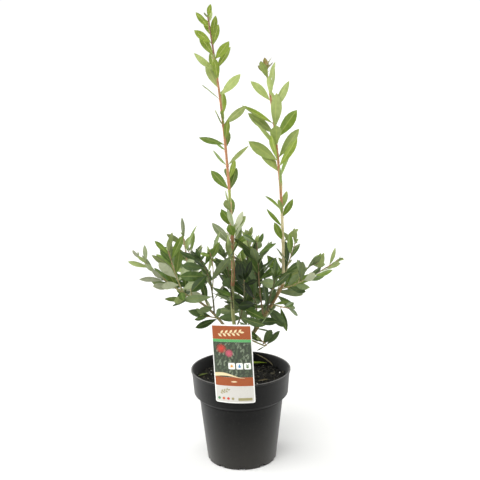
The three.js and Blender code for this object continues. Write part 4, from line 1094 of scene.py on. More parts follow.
def leafTemplate():
    # A unit leaf along +X: two skins that share the leaf's edge, folded up a little from the midrib.
    form = leafShape
    points, faces, underside, bendShare = [], [], [], []

    def addPoint(t, w, s, drop):
        points.append((t, s * w, form['fold'] * abs(s) * w - form['edge'] * s * s * w - drop))
        bendShare.append((t * t, t * t, s * w * t))   # for the sway, the arch and the twist
        return len(points) - 1

    upper = [[addPoint(t, w, s, 0) for s in (form['columns'] if w else (0,))]
             for t, w in zip(form['stations'], form['width'])]
    lower = [[row[0], addPoint(t, w, 0, form['thick'] * w ** form['thinning']), row[-1]] if w else row
             for row, t, w in zip(upper, form['stations'], form['width'])]
    for skin, below in ((upper, False), (lower, True)):
        for first, second in zip(skin, skin[1:]):
            for j in range(len(first) - 1):
                far = second[j:j + 2] if len(second) > 1 else second
                face = (first[j], *far, first[j + 1])
                faces.append(face if below else face[::-1])
                underside.append(below)
    faces.append((*upper[0], lower[0][1]))
    underside.append(True)
    mesh = meshOf('leafTemplate', points, faces)
    chart = mesh.uv_layers.new(name='leafChart')
    for loop in mesh.loops:
        x, y, _ = points[loop.vertex_index]
        width = np.interp(x, form['stations'], form['width'])
        chart.data[loop.index].uv = (0.5 + 0.5 * y / max(width, 0.05), x)
    keepAttribute(mesh, 'bendShare', 'FLOAT_VECTOR', bendShare)
    flag = mesh.attributes.new('underside', 'BOOLEAN', 'FACE')
    flag.data.foreach_set('value', underside)
    middle = len(form['columns']) // 2
    lines = [[row[k if len(row) > 1 else 0] for row in upper] for k in (0, middle, -1)]
    creased = {tuple(sorted(pair)) for line in lines for pair in zip(line, line[1:])}
    mesh.shade_smooth()
    sharp = mesh.attributes.new('sharp_edge', 'BOOLEAN', 'EDGE')
    sharp.data.foreach_set('value', [tuple(sorted(edge.vertices)) in creased for edge in mesh.edges])
    return addPiece('leafTemplate', mesh)


def budTemplate():
    mesh = turnedMesh('budTemplate', [(0, 0), (0.7, 0.12), (1, 0.4), (0.6, 0.8), (0, 1)], 6, 1)
    mesh.transform(Matrix.Rotation(math.pi / 2, 4, 'Y'))
    return addPiece('budTemplate', smooth(mesh))


leafTree = buildLeafTree()
template = leafTemplate()


def leafPiece(name, leaves, finishes, nodes=(), template=template):
    mesh = meshOf(name, [leaf['root'] * mm for leaf in leaves])
    for key in ('out', 'wide', 'up'):
        keepAttribute(mesh, 'leaf' + key.capitalize(), 'FLOAT_VECTOR', [leaf[key] for leaf in leaves])
    sizes = [(leaf['long'] * mm, leaf['half'] * mm, leaf['half'] * mm) for leaf in leaves]
    keepAttribute(mesh, 'leafSize', 'FLOAT_VECTOR', sizes)
    form, bends = leafShape, []
    for leaf, (long, half, _) in zip(leaves, sizes):
        _, twist, sway = leaf['draws']
        bends.append((form['sway'] * sway * long, -leaf['arch'] * long, form['twist'] * twist * half))
    keepAttribute(mesh, 'leafBend', 'FLOAT_VECTOR', bends)
    tones = [0.5 + leaf['draws'][0] * leaf.get('toneSpread', 1) for leaf in leaves]
    keepAttribute(mesh, 'leafTone', 'FLOAT', tones)
    piece = addPiece(name, mesh)
    bakeTree(piece, leafTree, {
        'Leaf': template, 'Bend': 1.0, 'Blade': finishes[0], 'Underside': finishes[1]}, drop=leafAttributes)
    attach(piece, 'root')
    if nodes:
        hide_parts(*sorted(nodes))
    return piece


for tint, finishes in leafFinishes.items():
    chosen = [leaf for leaf in placedLeaves if leaf['tint'] == tint]
    leafPiece(tint + 'Leaves', chosen, finishes, {leaf['node'] for leaf in chosen})
    print(tint, 'leaves:', len(chosen))

budModel = budTemplate()
leafPiece('axilBuds', buds, (barks['budScales'],) * 2, {bud['node'] for bud in buds}, budModel)


pot = {'height': 170, 'rimRadius': 90, 'lipHeight': 4, 'lipOver': 1.2, 'lipWide': 2.4, 'collarFoot': 125.5,
       'collarFootRadius': 85.2, 'bodyTop': 117.5, 'bodyTopRadius': 76, 'footRadius': 62.7, 'wall': 1.8,
       'floor': 2.6, 'segments': 192, 'skin': 0.8, 'highlitLip': 1.1, 'shadedBelow': 2, 'shadedAbove': 1}
drain = {'count': 10, 'width': 11, 'height': 4.5, 'depth': 9, 'corner': 1.2}
plastics = {   # colour, colour of the flow lines, sheen, specular level
    'recycledPolypropylene': ('#0b0b0b', '#111110', 0.22, 0.1),
    # painted highlight: paler plastic on the lip's top, where the rim catches the light
    'highlitPolypropyleneLip': ('#3c3b39', '#504e4b', 0.22, 0.3),
    # painted shade: the same plastic with less sheen and specular, for the step under the collar where shade
    # falls
    'shadedPolypropyleneStep': ('#0b0b0b', '#101010', 0.08, 0.05),
}


def potRadius(z):
    levels = (0, pot['bodyTop'], pot['collarFoot'], pot['height'])
    radii = (pot['footRadius'], pot['bodyTopRadius'], pot['collarFootRadius'],
             pot['rimRadius'] - pot['lipOver'])
    return float(np.interp(z, levels, radii))


def roundedProfile(corners):
    # (radius, height, rounding) corners become arcs of a few points.
    points = []
    for i, (r, z, rounding) in enumerate(corners):
        here = np.array([r, z], float)
        if rounding == 0 or i in (0, len(corners) - 1):
            points.append(here)
            continue
        before, after = np.array(corners[i - 1][:2], float), np.array(corners[i + 1][:2], float)
        entry, leave = here + unit(before - here) * rounding, here + unit(after - here) * rounding
        for step in np.linspace(0, 1, 5):
            points.append((1 - step) ** 2 * entry + 2 * step * (1 - step) * here + step * step * leave)
    return points


def makePot():
    wall, floor, lipFoot = pot['wall'], pot['floor'], pot['height'] - pot['lipHeight']

    def outer(z, rounding):
        return potRadius(z), z, rounding

    def inner(z, rounding):
        return potRadius(z) - wall, z, rounding

    # From the middle of the underside up the outside, over the lip and down the inside to the floor.
    profile = roundedProfile([
        (0, 0, 0), (pot['footRadius'] - 0.6, 0, 0.8), outer(1.6, 0.6), outer(40, 0), outer(80, 0),
        outer(pot['bodyTop'], 1.6), outer(pot['collarFoot'], 1.8), outer(145, 0),
        outer(lipFoot, 0.4), (pot['rimRadius'], lipFoot + 0.8, 0.5), (pot['rimRadius'], pot['height'], 1.0),
        (pot['rimRadius'] - pot['lipWide'], pot['height'], 0.8), inner(lipFoot, 1.0),
        inner(pot['collarFoot'] + 1, 1.6), inner(pot['bodyTop'] + 1, 1.4), inner(60, 0),
        inner(floor + 0.2, 1.5), (0, floor, 0)])
    piece = addPiece('nurseryPot', turnedMesh('nurseryPot', profile, pot['segments']))
    cutters = bmesh.new()
    for i in range(drain['count']):
        turn = Matrix.Rotation(2 * math.pi * (i + 0.5) / drain['count'], 4, 'Z')
        size = Matrix.Diagonal((2 * drain['depth'] * mm, drain['width'] * mm, 2 * drain['height'] * mm, 1))
        place = Matrix.Translation((pot['footRadius'] * mm, 0, 0))
        made = bmesh.ops.create_cube(cutters, size=1.0, matrix=turn @ place @ size)
        uprights = [edge for vert in made['verts'] for edge in vert.link_edges]
        bmesh.ops.bevel(cutters, geom=list(set(uprights)), offset=drain['corner'] * mm, segments=3,
                        affect='EDGES', profile=0.5)
    cutterMesh = bpy.data.meshes.new('drainNotches')
    cutters.to_mesh(cutterMesh)
    cutters.free()
    notches = addPiece('drainNotches', cutterMesh)
    cut = piece.modifiers.new('drainNotches', 'BOOLEAN')
    cut.operation, cut.solver, cut.object = 'DIFFERENCE', 'EXACT', notches
    bpy.context.view_layer.update()
    sources = bpy.context.evaluated_depsgraph_get()
    piece.data = bpy.data.meshes.new_from_object(piece.evaluated_get(sources), depsgraph=sources)
    piece.modifiers.clear()
    bpy.data.objects.remove(notches)
    smooth(piece.data, 32)
    piece.data.materials.clear()
    for name, finish in plastics.items():
        piece.data.materials.append(potPlastic(name, *finish))
    lip, step = 1, 2
    for face in piece.data.polygons:
        x, y, z = face.center / mm
        outside = math.hypot(x, y) > potRadius(z) - pot['skin']
        # The lip's top takes the painted highlight.
        if z > pot['height'] - pot['highlitLip']:
            face.material_index = lip
        # The outer step under the collar takes the painted shade.
        elif outside and pot['bodyTop'] - pot['shadedBelow'] < z < pot['collarFoot'] + pot['shadedAbove']:
            face.material_index = step
    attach(piece, 'root')
    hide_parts('pot')


makePot()
print('pot done')


mix = {'top': 152, 'atWall': 149, 'flatRadius': 24, 'rings': 80, 'crowd': 0.8, 'sectors': 240,
       'relief': 2.1, 'lump': 7.5, 'fractal': (0.9, 2.1, 5), 'seed': 11.0, 'below': 1.2, 'offNotches': 1.5,
       'overNotches': 1}


def soilHeight(r, turn):
    edge = potRadius(mix['atWall']) - pot['wall'] - gap
    slope = np.interp(r, (0, mix['flatRadius'], edge), (mix['top'], mix['top'], mix['atWall']))
    place = Vector((r * math.cos(turn) / mix['lump'], r * math.sin(turn) / mix['lump'], mix['seed']))
    lumps = noise.fractal(place, *mix['fractal'])
    return slope - mix['below'] + mix['relief'] * max(-1.0, min(1.0, lumps))


def makeSoil():
    edge = potRadius(mix['atWall']) - pot['wall'] - gap
    sectors = mix['sectors']
    turns = [2 * math.pi * j / sectors for j in range(sectors)]
    floorRadius = pot['footRadius'] - drain['depth'] - pot['wall'] - mix['offNotches']
    low = drain['height'] + mix['overNotches']
    # Rings over the surface, with the surface's own height, then down the wall and in over the notches.
    circles = [(r, None) for r in (np.linspace(0, 1, mix['rings']) ** mix['crowd'] * edge)[1:]]
    circles += [(potRadius(z) - pot['wall'] - gap, z)
                for z in (pot['collarFoot'] + 1, pot['bodyTop'] + 1, low + 1)]
    circles += [(floorRadius, low), (floorRadius, pot['floor'] + gap)]
    points = [(0, 0, soilHeight(0, 0) * mm)]
    for r, z in circles:
        for turn in turns:
            height = soilHeight(r, turn) if z is None else z
            points.append((r * math.cos(turn) * mm, r * math.sin(turn) * mm, height * mm))
    points.append((0, 0, (pot['floor'] + gap) * mm))
    last = 1 + (len(circles) - 1) * sectors
    faces = []
    for j in range(sectors):
        k = (j + 1) % sectors
        faces += [(0, 1 + j, 1 + k), (last + j, len(points) - 1, last + k)]
        faces += [(a + j, a + sectors + j, a + sectors + k, a + k) for a in range(1, last, sectors)]
    mesh = smooth(facingOut(meshOf('pottingMix', points, faces)), 50)
    mesh.materials.append(soilMaterial('compostedBark', '#0d0d0a', '#191813', '#3f3d30', 0.3))
    piece = addPiece('pottingMix', mesh)
    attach(piece, 'root')
    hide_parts('potting_mix')
    return piece


chipForm = {'round': 0.7, 'ragged': 0.5, 'above': 145, 'offWall': 4, 'flatter': 0.3, 'flecks': 0.4}
chipKinds = {   # spacing, number on a square metre, smallest, largest, seed, a splinter's shape, colours
    'barkChips': (3.8, 52000, 3.5, 13.0, 7, (1, 0.42, 0.2), ('#14130e', '#2b2922', '#5a5644')),
    'soilCrumbs': (1.5, 160000, 0.9, 3.2, 19, (0.9, 0.8, 0.7), ('#0b0b08', '#191710', '#333025')),
    'paleSplinters': (9.0, 7000, 2.5, 9.0, 31, (1, 0.22, 0.12), ('#4c4534', '#7a7058', '#979070')),
    'perliteGrains': (12.0, 3600, 1.2, 3.4, 43, (1, 0.9, 0.8), ('#b9b8b0', '#d8d7d0', '#ecebe6')),
}


def chipTemplate(name, seed, size):
    # A splinter of bark: a block of a few faces with its corners pushed about.
    shape = bmesh.new()
    bmesh.ops.create_cube(shape, size=1.0)
    bmesh.ops.subdivide_edges(shape, edges=shape.edges, cuts=1)
    push = diceOf(seed)
    for vert in shape.verts:
        rounded = vert.co.normalized() * chipForm['round']
        vert.co = Vector([c * s * (1 + chipForm['ragged'] * push()) for c, s in zip(rounded, size)])
    mesh = bpy.data.meshes.new(name)
    shape.to_mesh(mesh)
    shape.free()
    return addPiece(name, mesh)


def makeChips(ground):
    tree = buildScatterTree()
    for name, (spacing, density, smallest, largest, seed, size, colours) in chipKinds.items():
        chip = chipTemplate(name + 'Template', seed, size)
        upper = bmesh.new()
        upper.from_mesh(ground.data)
        reach = (potRadius(mix['atWall']) - pot['wall'] - chipForm['offWall']) * mm
        doomed = []
        for face in upper.faces:
            middle = face.calc_center_median()
            low = middle.z < chipForm['above'] * mm or face.normal.z < chipForm['flatter']
            if low or middle.xy.length > reach:
                doomed.append(face)
        bmesh.ops.delete(upper, geom=doomed, context='FACES')
        mesh = bpy.data.meshes.new(name)
        upper.to_mesh(mesh)
        upper.free()
        piece = addPiece(name, mesh)
        finish = soilMaterial(name + 'Bark', *colours, chipForm['flecks'])
        bakeTree(piece, tree, {
            'Chip': chip, 'Spacing': spacing * mm, 'Density': density, 'Smallest': smallest * mm,
            'Largest': largest * mm, 'Seed': seed, 'Finish': finish})
        bpy.data.objects.remove(chip)
        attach(piece, 'root')
        print(name, len(piece.data.polygons), 'faces')


makeChips(makeSoil())

# Fallen leaves lie on the mix, and one dry blade leans on the pot's back wall.
litter = {
    'leaves': [   # x, y, z, turn in degrees, length, finish
        (49, 66, 154.2, 176, 36, 'young'), (-52, -34, 152.6, 40, 27, 'tip'),
        (50, -16, 153, 200, 22, 'tip'), (-18, 58, 153.6, 100, 29, 'mature'),
        (-60, 20, 152.8, 215, 22, 'mature')],
    'rise': 0.03, 'above': (0.12, -0.1, 1), 'halfShare': 0.14, 'arch': 0.05,
    'finishes': {
        'young': ('#7f9426', '#68801f', '#a9b04d', '#8b9a46', '#76863a'),
        'tip': ('#5e5637', '#4a4029', '#847a55', '#6b6346', '#554d35'),
        'mature': ('#5c6b2c', '#4a5524', '#8c8f50', '#7b7f4e', '#666b3f')},
}
dryBlade = {
    'path': {'foot': (60, 58, 152.4), 'mid': (47, 69, 161), 'tip': (27, 79, 168.5)},
    'up': (0.35, -0.6, 0.7), 'wide': 2.4, 'thick': 0.3, 'steps': 28,
    'section': ((-1, 0), (0, -0.45), (1, 0), (1, 1), (0, 0.55), (-1, 1)),   # a shallow trough
    'taper': (0.12, 0.95), 'fullness': 0.6, 'leastHalf': 0.06,
}


def makeLitter():
    for kind, (blade, shade, rib, under, underShade) in litter['finishes'].items():
        leaves = []
        for x, y, z, turn, long, own in litter['leaves']:
            if own == kind:
                turn = math.radians(turn)
                out = unit(np.array([math.cos(turn), math.sin(turn), litter['rise']]))
                wide = unit(np.cross(litter['above'], out))
                leaves.append({'root': np.array([x, y, z], float), 'out': out, 'wide': wide,
                               'up': np.cross(out, wide), 'long': long, 'half': long * litter['halfShare'],
                               'arch': litter['arch'], 'draws': (0, 0.2, 0.3)})
        finishes = (leafMaterial(kind + 'FallenBlade', blade, shade, rib, 0.55),
                    leafMaterial(kind + 'FallenUnderside', under, underShade, rib, 0.7))
        leafPiece(kind + 'FallenLeaves', leaves, finishes)


def makeDryBlade():
    form = dryBlade
    count = len(form['section'])
    points, faces = [], []
    for i in range(form['steps'] + 1):
        t = i / form['steps']
        centre, way = pointOn(form['path'], t), wayOn(form['path'], t)
        wide = unit(np.cross(way, form['up']))
        up = np.cross(way, wide)
        swell = math.sin(math.pi * min(1, form['taper'][0] + t * form['taper'][1])) ** form['fullness']
        half = form['wide'] / 2 * (swell + form['leastHalf'])
        for side, lift in form['section']:
            points.append((centre + wide * side * half + up * lift * form['thick']) * mm)
        if i:
            a, b = count * (i - 1), count * i
            faces += [(a + j, b + j, b + (j + 1) % count, a + (j + 1) % count) for j in range(count)]
    last = count * form['steps']
    faces += [tuple(range(count))[::-1], tuple(range(last, last + count))]
    mesh = smooth(facingOut(meshOf('dryBlade', points, faces)), 40)
    mesh.materials.append(barks['dryStraw'])
    piece = addPiece('dryBlade', mesh)
    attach(piece, 'root')


makeLitter()
makeDryBlade()
print('potting mix done')

# The card's print, in millimetres on the card: x from its middle, y up from its foot. Every motif is a plain
# generic one: sprigs, round blossoms and three plain signs for sun, water and pot.
card = {'halfWidth': label['width'] / 2, 'inset': 1.7, 'step': 3.0, 'layer': 0.07}
inkColours = {   # main colour and its screen's
    'whitePolypropyleneCard': ('#f6f6f2', '#efefea'),
    'orangeInk': ('#954203', '#9f4b08'),
    'greenInk': ('#4f9f58', '#5bab62'),
    'lightGreyInk': ('#cfcdc6', '#c8c5be'),
    'darkGreenInk': ('#2a3524', '#35412d'),
    'midGreenInk': ('#566748', '#4b5a40'),
    'paleGreenInk': ('#8e9b80', '#7b896e'),
    'creamInk': ('#ecd9ae', '#e3cc9c'),
    'redBlossomsInk': ('#cf3a2a', '#b92f24'),
    'pinkBlossomsInk': ('#cc5a6e', '#b94a5e'),
    'sunInk': ('#d99a2c', '#cf8f26'),
    'waterInk': ('#4b87b5', '#437dab'),
    'potInk': ('#5c7a45', '#54713e'),
    'oliveInk': ('#8f8858', '#9c9566'),
    'dotInk0': ('#3f7d4a', '#4c8a56'),
    'dotInk1': ('#bf5a26', '#c9652f'),
    'dotInk2': ('#cf3a2a', '#b92f24'),
    'dotInk3': ('#8f8858', '#9c9566'),
}
inks = {name: inkMaterial(name, *colours) for name, colours in inkColours.items()}
panels = {   # ink, and the foot, top and corner of each box; all lie in the first layer
    'orangePrint': ('orangeInk', (115, 138.6, 1), (31, 47, 0.6)),
    'greenStripe': ('greenInk', (110, 114.9, 0.1)),
    'greyPanel': ('lightGreyInk', (1.7, 30.6, 1.6)),
    'darkField': ('darkGreenInk', (47.1, 109.9, 0.1)),
}
sprigForm = {'stalk': 0.35, 'begin': 0.6, 'spare': 0.8, 'turn': 46, 'endAt': 0.94}
field = {'seed': 77, 'count': 10, 'across': 6.6, 'up': 6.2, 'shift': 3.2, 'margin': 2, 'foot': 48,
         'astray': 2, 'turn': 72, 'turning': 80, 'midShare': 0.08, 'edge': 0.4, 'inside': (47.6, 109.4),
         'sprig': {'long': 6, 'pairs': 3, 'leafLong': 2.4, 'leafHalf': 0.42}}
title = {'x': -25, 'y': 124.5, 'degrees': 4, 'long': 42, 'pairs': 5, 'leafLong': 8, 'leafHalf': 1.9}
wave = {'y': 47.4, 'rise': 2.2, 'thick': 6.5, 'offLeft': 0.2, 'offRight': 14}
flourish = {'apart': 6, 'y': 39, 'long': 12, 'half': 1.4}
blossoms = {'redBlossoms': ((-19, 98), 9), 'pinkBlossoms': ((-6, 90), 7.2)}   # middle and petals' length
petals = {'count': 18, 'from': 0.9, 'half': 0.62, 'eye': 0.3}
signs = {   # the drop and the bowl are outlines round their sign's middle
    'side': 11.5, 'apart': 13.5, 'foot': 61.5, 'fromEdge': 14, 'corner': 2.2,
    'sun': 2.1, 'rays': 8, 'rayFrom': 2.4, 'rayLong': 2.1, 'rayHalf': 0.45,
    'drop': ((0, 4.2), (-2.2, -0.4), (-1.6, -2.6), (0, -3.4), (1.6, -2.6), (2.2, -0.4)),
    'bowl': ((-2.4, -0.2), (-1.6, -3.6), (1.6, -3.6), (2.4, -0.2)),
    'sprouts': (55, 125), 'sproutUp': 0.2, 'sproutLong': 4, 'sproutHalf': 1,
}
# x is from the print's left edge, and the bar's begin and end are from its right one.
footSprig = {'x': 6, 'y': 18, 'degrees': 20, 'long': 16, 'pairs': 3, 'leafLong': 5.5, 'leafHalf': 1.3}
footBar = {'begin': 27, 'end': 3, 'foot': 4.5, 'top': 9.5, 'corner': 1}
footDots = {'count': 4, 'fromEdge': 5, 'apart': 8, 'height': 8, 'radius': 2.4}


def cardSolid(name, outlines, ink, layer, low=None):
    # Flat outlines become thin solids that follow the card's bend. Each outline lies a little over the last.
    points, faces = [], []
    for n, outline in enumerate(outlines):
        flat = bmesh.new()
        flat.faces.new([flat.verts.new((x, y, 0)) for x, y in outline])
        bmesh.ops.triangulate(flat, faces=flat.faces)
        xs = [x for x, _ in outline]
        for x in np.arange(-card['halfWidth'] + card['step'], card['halfWidth'], card['step']):
            if min(xs) < x < max(xs):
                everything = flat.verts[:] + flat.edges[:] + flat.faces[:]
                bmesh.ops.bisect_plane(flat, geom=everything, plane_co=(x, 0, 0), plane_no=(1, 0, 0),
                                       dist=1e-6)
        flat.verts.index_update()
        base, count = len(points), len(flat.verts)
        top = label['thick'] + layer * card['layer'] + n * 2e-5
        for depth in (top - card['layer'] if low is None else low, top):
            points += [labelPoint(v.co.x / card['halfWidth'], v.co.y / label['height'], depth) * mm
                       for v in flat.verts]
        for face in flat.faces:
            ring = [base + v.index for v in face.verts]
            faces += [ring[::-1], [i + count for i in ring]]
        for edge in flat.edges:
            if edge.is_boundary:
                a, b = (base + v.index for v in edge.verts)
                faces.append((a, b, b + count, a + count))
        flat.free()
    mesh = facingOut(meshOf(name, points, faces))
    mesh.materials.append(inks[ink])
    piece = addPiece(name, mesh)
    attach(piece, 'root')
    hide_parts('label_panel')


def roundedBox(x0, y0, x1, y1, r, steps=4):
    outline = []
    middles = ((x1 - r, y1 - r), (x0 + r, y1 - r), (x0 + r, y0 + r), (x1 - r, y0 + r))
    for corner, (cx, cy) in enumerate(middles):
        for i in range(steps + 1):
            turn = math.radians(90 * corner + 90 * i / steps)
            outline.append((cx + r * math.cos(turn), cy + r * math.sin(turn)))
    return outline


def disc(x, y, r, count=16):
    turns = [2 * math.pi * i / count for i in range(count)]
    return [(x + r * math.cos(turn), y + r * math.sin(turn)) for turn in turns]


def lens(x, y, degrees, long, half):
    # A leaf or petal that starts at x, y.
    turn = math.radians(degrees)
    shape = [(0, 0), (0.3, 0.8), (0.6, 0.9), (1, 0), (0.6, -0.9), (0.3, -0.8)]
    return [(x + long * t * math.cos(turn) - half * s * math.sin(turn),
             y + long * t * math.sin(turn) + half * s * math.cos(turn)) for t, s in shape]


def sprig(x, y, degrees, long, pairs, leafLong, leafHalf):
    # A stalk with leaves by turns on each side, and one at its end.
    turn, form = math.radians(degrees), sprigForm
    outlines = [lens(x, y, degrees, long, form['stalk'])]
    for i in range(2 * pairs):
        px, py = (c + long * (i + form['begin']) / (2 * pairs + form['spare']) * f
                  for c, f in ((x, math.cos(turn)), (y, math.sin(turn))))
        lean = form['turn'] if i % 2 else -form['turn']
        outlines.append(lens(px, py, degrees + lean, leafLong, leafHalf))
    endX, endY = (c + long * form['endAt'] * f for c, f in ((x, math.cos(turn)), (y, math.sin(turn))))
    return outlines + [lens(endX, endY, degrees, leafLong, leafHalf)]


def waveBand(y, rise, thick, x0, x1, count=24):
    xs = [x0 + (x1 - x0) * i / count for i in range(count + 1)]
    lowEdge = [(x, y + rise * math.sin((x - x0) / (x1 - x0) * math.pi * 1.5)) for x in xs]
    return lowEdge + [(x, level + thick * (0.55 + 0.45 * math.cos((x - x0) / (x1 - x0) * math.pi)))
                      for x, level in reversed(lowEdge)]


def printField(edge):
    # Rows of small sprigs in two greens over the dark field.
    place = diceOf(field['seed'])
    mid, pale = [], []
    for row in range(field['count']):
        for column in range(field['count']):
            x = (-edge + field['margin'] + column * field['across'] + (row % 2) * field['shift']
                 + field['astray'] * place())
            y = field['foot'] + row * field['up'] + field['astray'] * place()
            outlines = sprig(x, y, field['turn'] + field['turning'] * place(), **field['sprig'])
            (pale if place() > field['midShare'] else mid).extend(outlines)
    side, (low, high) = edge - field['edge'], field['inside']
    for green, shapes in (('midGreen', mid), ('paleGreen', pale)):
        kept = [shape for shape in shapes if all(abs(x) < side and low < y < high for x, y in shape)]
        cardSolid(green + 'Sprigs', kept, green + 'Ink', 2)


def printBlossoms():
    for level, (name, ((x, y), long)) in enumerate(blossoms.items()):
        outlines = []
        for i in range(petals['count']):
            degrees = i * 360 / petals['count']
            footX = x + petals['from'] * math.cos(math.radians(degrees))
            footY = y + petals['from'] * math.sin(math.radians(degrees))
            outlines.append(lens(footX, footY, degrees, long, petals['half']))
        cardSolid(name, outlines + [disc(x, y, long * petals['eye'])], name + 'Ink', 4 + level)


def printSigns(edge):
    side, foot = signs['side'], signs['foot']
    lefts = [edge - signs['fromEdge'] - signs['apart'] * i for i in range(3)]
    squares = [roundedBox(x, foot, x + side, foot + side, signs['corner']) for x in lefts]
    cardSolid('signSquares', squares, 'whitePolypropyleneCard', 3)
    potX, dropX, sunX = (x + side / 2 for x in lefts)
    y = foot + side / 2
    rays, off = [], signs['rayFrom']
    for i in range(signs['rays']):
        turn = i * 2 * math.pi / signs['rays']
        rays.append(lens(sunX + off * math.cos(turn), y + off * math.sin(turn), math.degrees(turn),
                         signs['rayLong'], signs['rayHalf']))
    cardSolid('sunSign', [disc(sunX, y, signs['sun'])] + rays, 'sunInk', 4)
    cardSolid('waterSign', [[(dropX + dx, y + dy) for dx, dy in signs['drop']]], 'waterInk', 4)
    bowl = [(potX + dx, y + dy) for dx, dy in signs['bowl']]
    sprouts = [lens(potX, y + signs['sproutUp'], degrees, signs['sproutLong'], signs['sproutHalf'])
               for degrees in signs['sprouts']]
    cardSolid('potSign', [bowl] + sprouts, 'potInk', 4)


def makeLabel():
    edge = card['halfWidth'] - card['inset']
    sheet = roundedBox(-card['halfWidth'], 0, card['halfWidth'], label['height'], label['corner'])
    cardSolid('labelCard', [sheet], 'whitePolypropyleneCard', 0, low=0)
    for name, (ink, *boxes) in panels.items():
        cardSolid(name, [roundedBox(-edge, foot, edge, top, corner) for foot, top, corner in boxes], ink, 1)
    printField(edge)
    band = waveBand(wave['y'], wave['rise'], wave['thick'], -edge + wave['offLeft'],
                    edge - wave['offRight'])
    facing = [lens(x, flourish['y'], degrees, flourish['long'], flourish['half'])
              for x, degrees in ((-flourish['apart'], 0), (flourish['apart'], 180))]
    cardSolid('creamPrint', [band] + sprig(**title) + facing, 'creamInk', 3)
    printBlossoms()
    printSigns(edge)
    bar = roundedBox(edge - footBar['begin'], footBar['foot'], edge - footBar['end'], footBar['top'],
                     footBar['corner'])
    spray = sprig(**{**footSprig, 'x': -edge + footSprig['x']})
    cardSolid('olivePrint', [bar] + spray, 'oliveInk', 2)
    for i in range(footDots['count']):
        x = -edge + footDots['fromEdge'] + footDots['apart'] * i
        cardSolid(f'footDot{i}', [disc(x, footDots['height'], footDots['radius'])], f'dotInk{i}', 2)


makeLabel()
strap = {'high': 11, 'thick': 0.7, 'halfWidth': 20, 'frontX': -8, 'backX': 8, 'frontY': -89, 'backY': 24,
         'frontZ': 228, 'backZ': 206, 'stations': 128}


def makeLoop():
    # A closed band round the stems. Its section is a slim box with its edges taken off.
    section = [(0, -0.94), (0, 0.94), (0.2, 1), (0.8, 1), (1, 0.94), (1, -0.94), (0.8, -1), (0.2, -1)]
    wayX, wayY, wayZ = (strap['back' + axis] - strap['front' + axis] for axis in 'XYZ')
    points, faces = [], []
    for i in range(strap['stations']):
        turn = 2 * math.pi * i / strap['stations']
        share = (1 - math.cos(turn)) / 2
        for out, lift in section:
            out *= strap['thick']
            x = strap['frontX'] + wayX * share + (strap['halfWidth'] + out) * math.sin(turn)
            y = strap['frontY'] - out + (wayY + 2 * out) * share
            z = strap['frontZ'] + wayZ * share + lift * strap['high'] / 2
            points.append((x * mm, y * mm, z * mm))
    count = len(section)
    for i in range(strap['stations']):
        a, b = i * count, (i + 1) % strap['stations'] * count
        faces += [(a + j, b + j, b + (j + 1) % count, a + (j + 1) % count) for j in range(count)]
    mesh = smooth(facingOut(meshOf('labelLoop', points, faces)), 40)
    mesh.materials.append(inks['whitePolypropyleneCard'])
    piece = addPiece('labelLoop', mesh)
    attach(piece, 'root')
    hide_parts('label_loop')


makeLoop()
print('label done')

view = {'distance': 1500, 'height': 726.5, 'pitch': 0.2103, 'yaw': 0.0012, 'roll': 0.0143,   # radians
        'lens': 65.49, 'sensor': 36, 'clip': (0.05, 50)}   # clip in metres


def makeCamera():
    made = bpy.data.cameras.new('camera')
    made.lens, made.sensor_width = view['lens'], view['sensor']
    made.clip_start, made.clip_end = view['clip']
    camera = bpy.data.objects.new('camera', made)
    pitch, yaw, roll = view['pitch'], view['yaw'], view['roll']
    forward = Vector((math.sin(yaw) * math.cos(pitch), math.cos(yaw) * math.cos(pitch), -math.sin(pitch)))
    right = Vector((math.cos(yaw), -math.sin(yaw), 0))
    above = right.cross(forward)
    axisX = right * math.cos(roll) - above * math.sin(roll)
    axisY = right * math.sin(roll) + above * math.cos(roll)
    turn = Matrix((axisX, axisY, -forward)).transposed().to_4x4()
    camera.matrix_world = Matrix.Translation((0, -view['distance'] * mm, view['height'] * mm)) @ turn
    scene.collection.objects.link(camera)
    scene.camera = camera


# A white tent, brightest at its sides and dimmer overhead and in front, so that dark plastic keeps its
# depth. The pairs are where each change begins and ends, as parts of the way to that side.
room = {'horizon': 1.05, 'zenith': 0.35, 'front': 0.3, 'sides': 2.0, 'aloft': (0.12, 0.7),
        'before': (-0.75, -0.1), 'paleUpTo': (0.12, 0.24), 'aside': (0.5, 0.95), 'floor': 40, 'drop': 0.3}
suns = {   # from where, strength, spread in degrees
    'overheadSoftLight': ((-0.25, -0.6, 1), 2.2, 50),
    'leftSoftLight': ((-0.95, 0.25, 0.15), 2.6, 40),
    'rightSoftLight': ((0.95, 0.25, 0.15), 1.6, 40),
}


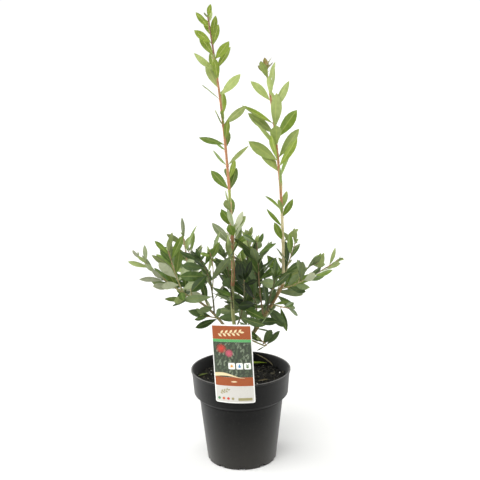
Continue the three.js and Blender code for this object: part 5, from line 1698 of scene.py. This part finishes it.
def makeFloor():
    size = room['floor']
    corners = [(-size, -size, 0), (size, -size, 0), (size, size, 0), (-size, size, 0)]
    mesh = meshOf('floor', corners, [(0, 1, 2, 3)])
    material, tree, shader, place = newMaterial('palePaperFloor', 0.9)
    grain = addNode(tree, 'ShaderNodeTexNoise', {'Vector': place, 'Scale': 4.0, 'Detail': 3.0}, 0)   # 250 mm
    colour = addNode(tree, 'ShaderNodeMix', {
        0: grain, 6: linear('#f4f4f2'), 7: linear('#fafaf8')}, 2, data_type='RGBA')
    tree.links.new(colour, shader.inputs['Base Color'])
    mesh.materials.append(material)
    floor = addPiece('floor', mesh)
    floor.location.z = -room['drop'] * mm


def makeWorld():
    world = bpy.data.worlds.new('softRoom')
    world.use_nodes = True
    tree = world.node_tree
    ray = addNode(tree, 'ShaderNodeTexCoord', None, 'Generated')
    ways = addNode(tree, 'ShaderNodeSeparateXYZ', {0: ray}).outputs
    begin, end = room['aloft']
    aloft = addNode(tree, 'ShaderNodeMapRange', {
        0: ways['Z'], 1: begin, 2: end, 3: 1.0, 4: room['zenith']}, 0)
    begin, end = room['before']
    before = addNode(tree, 'ShaderNodeMapRange', {
        0: ways['Y'], 1: begin, 2: end, 3: room['front'], 4: 1.0}, 0)
    begin, end = room['paleUpTo']
    raised = addNode(tree, 'ShaderNodeMapRange', {0: ways['Z'], 1: begin, 2: end}, 0)
    before = addNode(tree, 'ShaderNodeMix', {0: raised, 2: 1.0, 3: before}, 0, data_type='FLOAT')
    begin, end = room['aside']
    aside = addNode(tree, 'ShaderNodeMath', {0: ways['X']}, 0, operation='ABSOLUTE')
    aside = addNode(tree, 'ShaderNodeMapRange', {0: aside, 1: begin, 2: end, 3: 1.0, 4: room['sides']}, 0)
    strength = aloft
    for factor in (before, aside, room['horizon']):
        strength = addNode(tree, 'ShaderNodeMath', {0: strength, 1: factor}, 0, operation='MULTIPLY')
    tree.links.new(strength, tree.nodes['Background'].inputs['Strength'])
    tree.nodes['Background'].inputs['Color'].default_value = (1, 1, 1, 1)
    scene.world = world


def makeSun(name, fromWhere, strength, spread):
    made = bpy.data.lights.new(name, 'SUN')
    made.energy, made.angle = strength, math.radians(spread)
    lamp = bpy.data.objects.new(name, made)
    lamp.rotation_euler = Vector(fromWhere).to_track_quat('Z', 'Y').to_euler()
    scene.collection.objects.link(lamp)


makeCamera()
makeFloor()
makeWorld()
for name, sun in suns.items():
    makeSun(name, *sun)
scene.view_settings.view_transform = 'Standard'
print('stage done')

for spare in (template, budModel):
    bpy.data.objects.remove(spare)
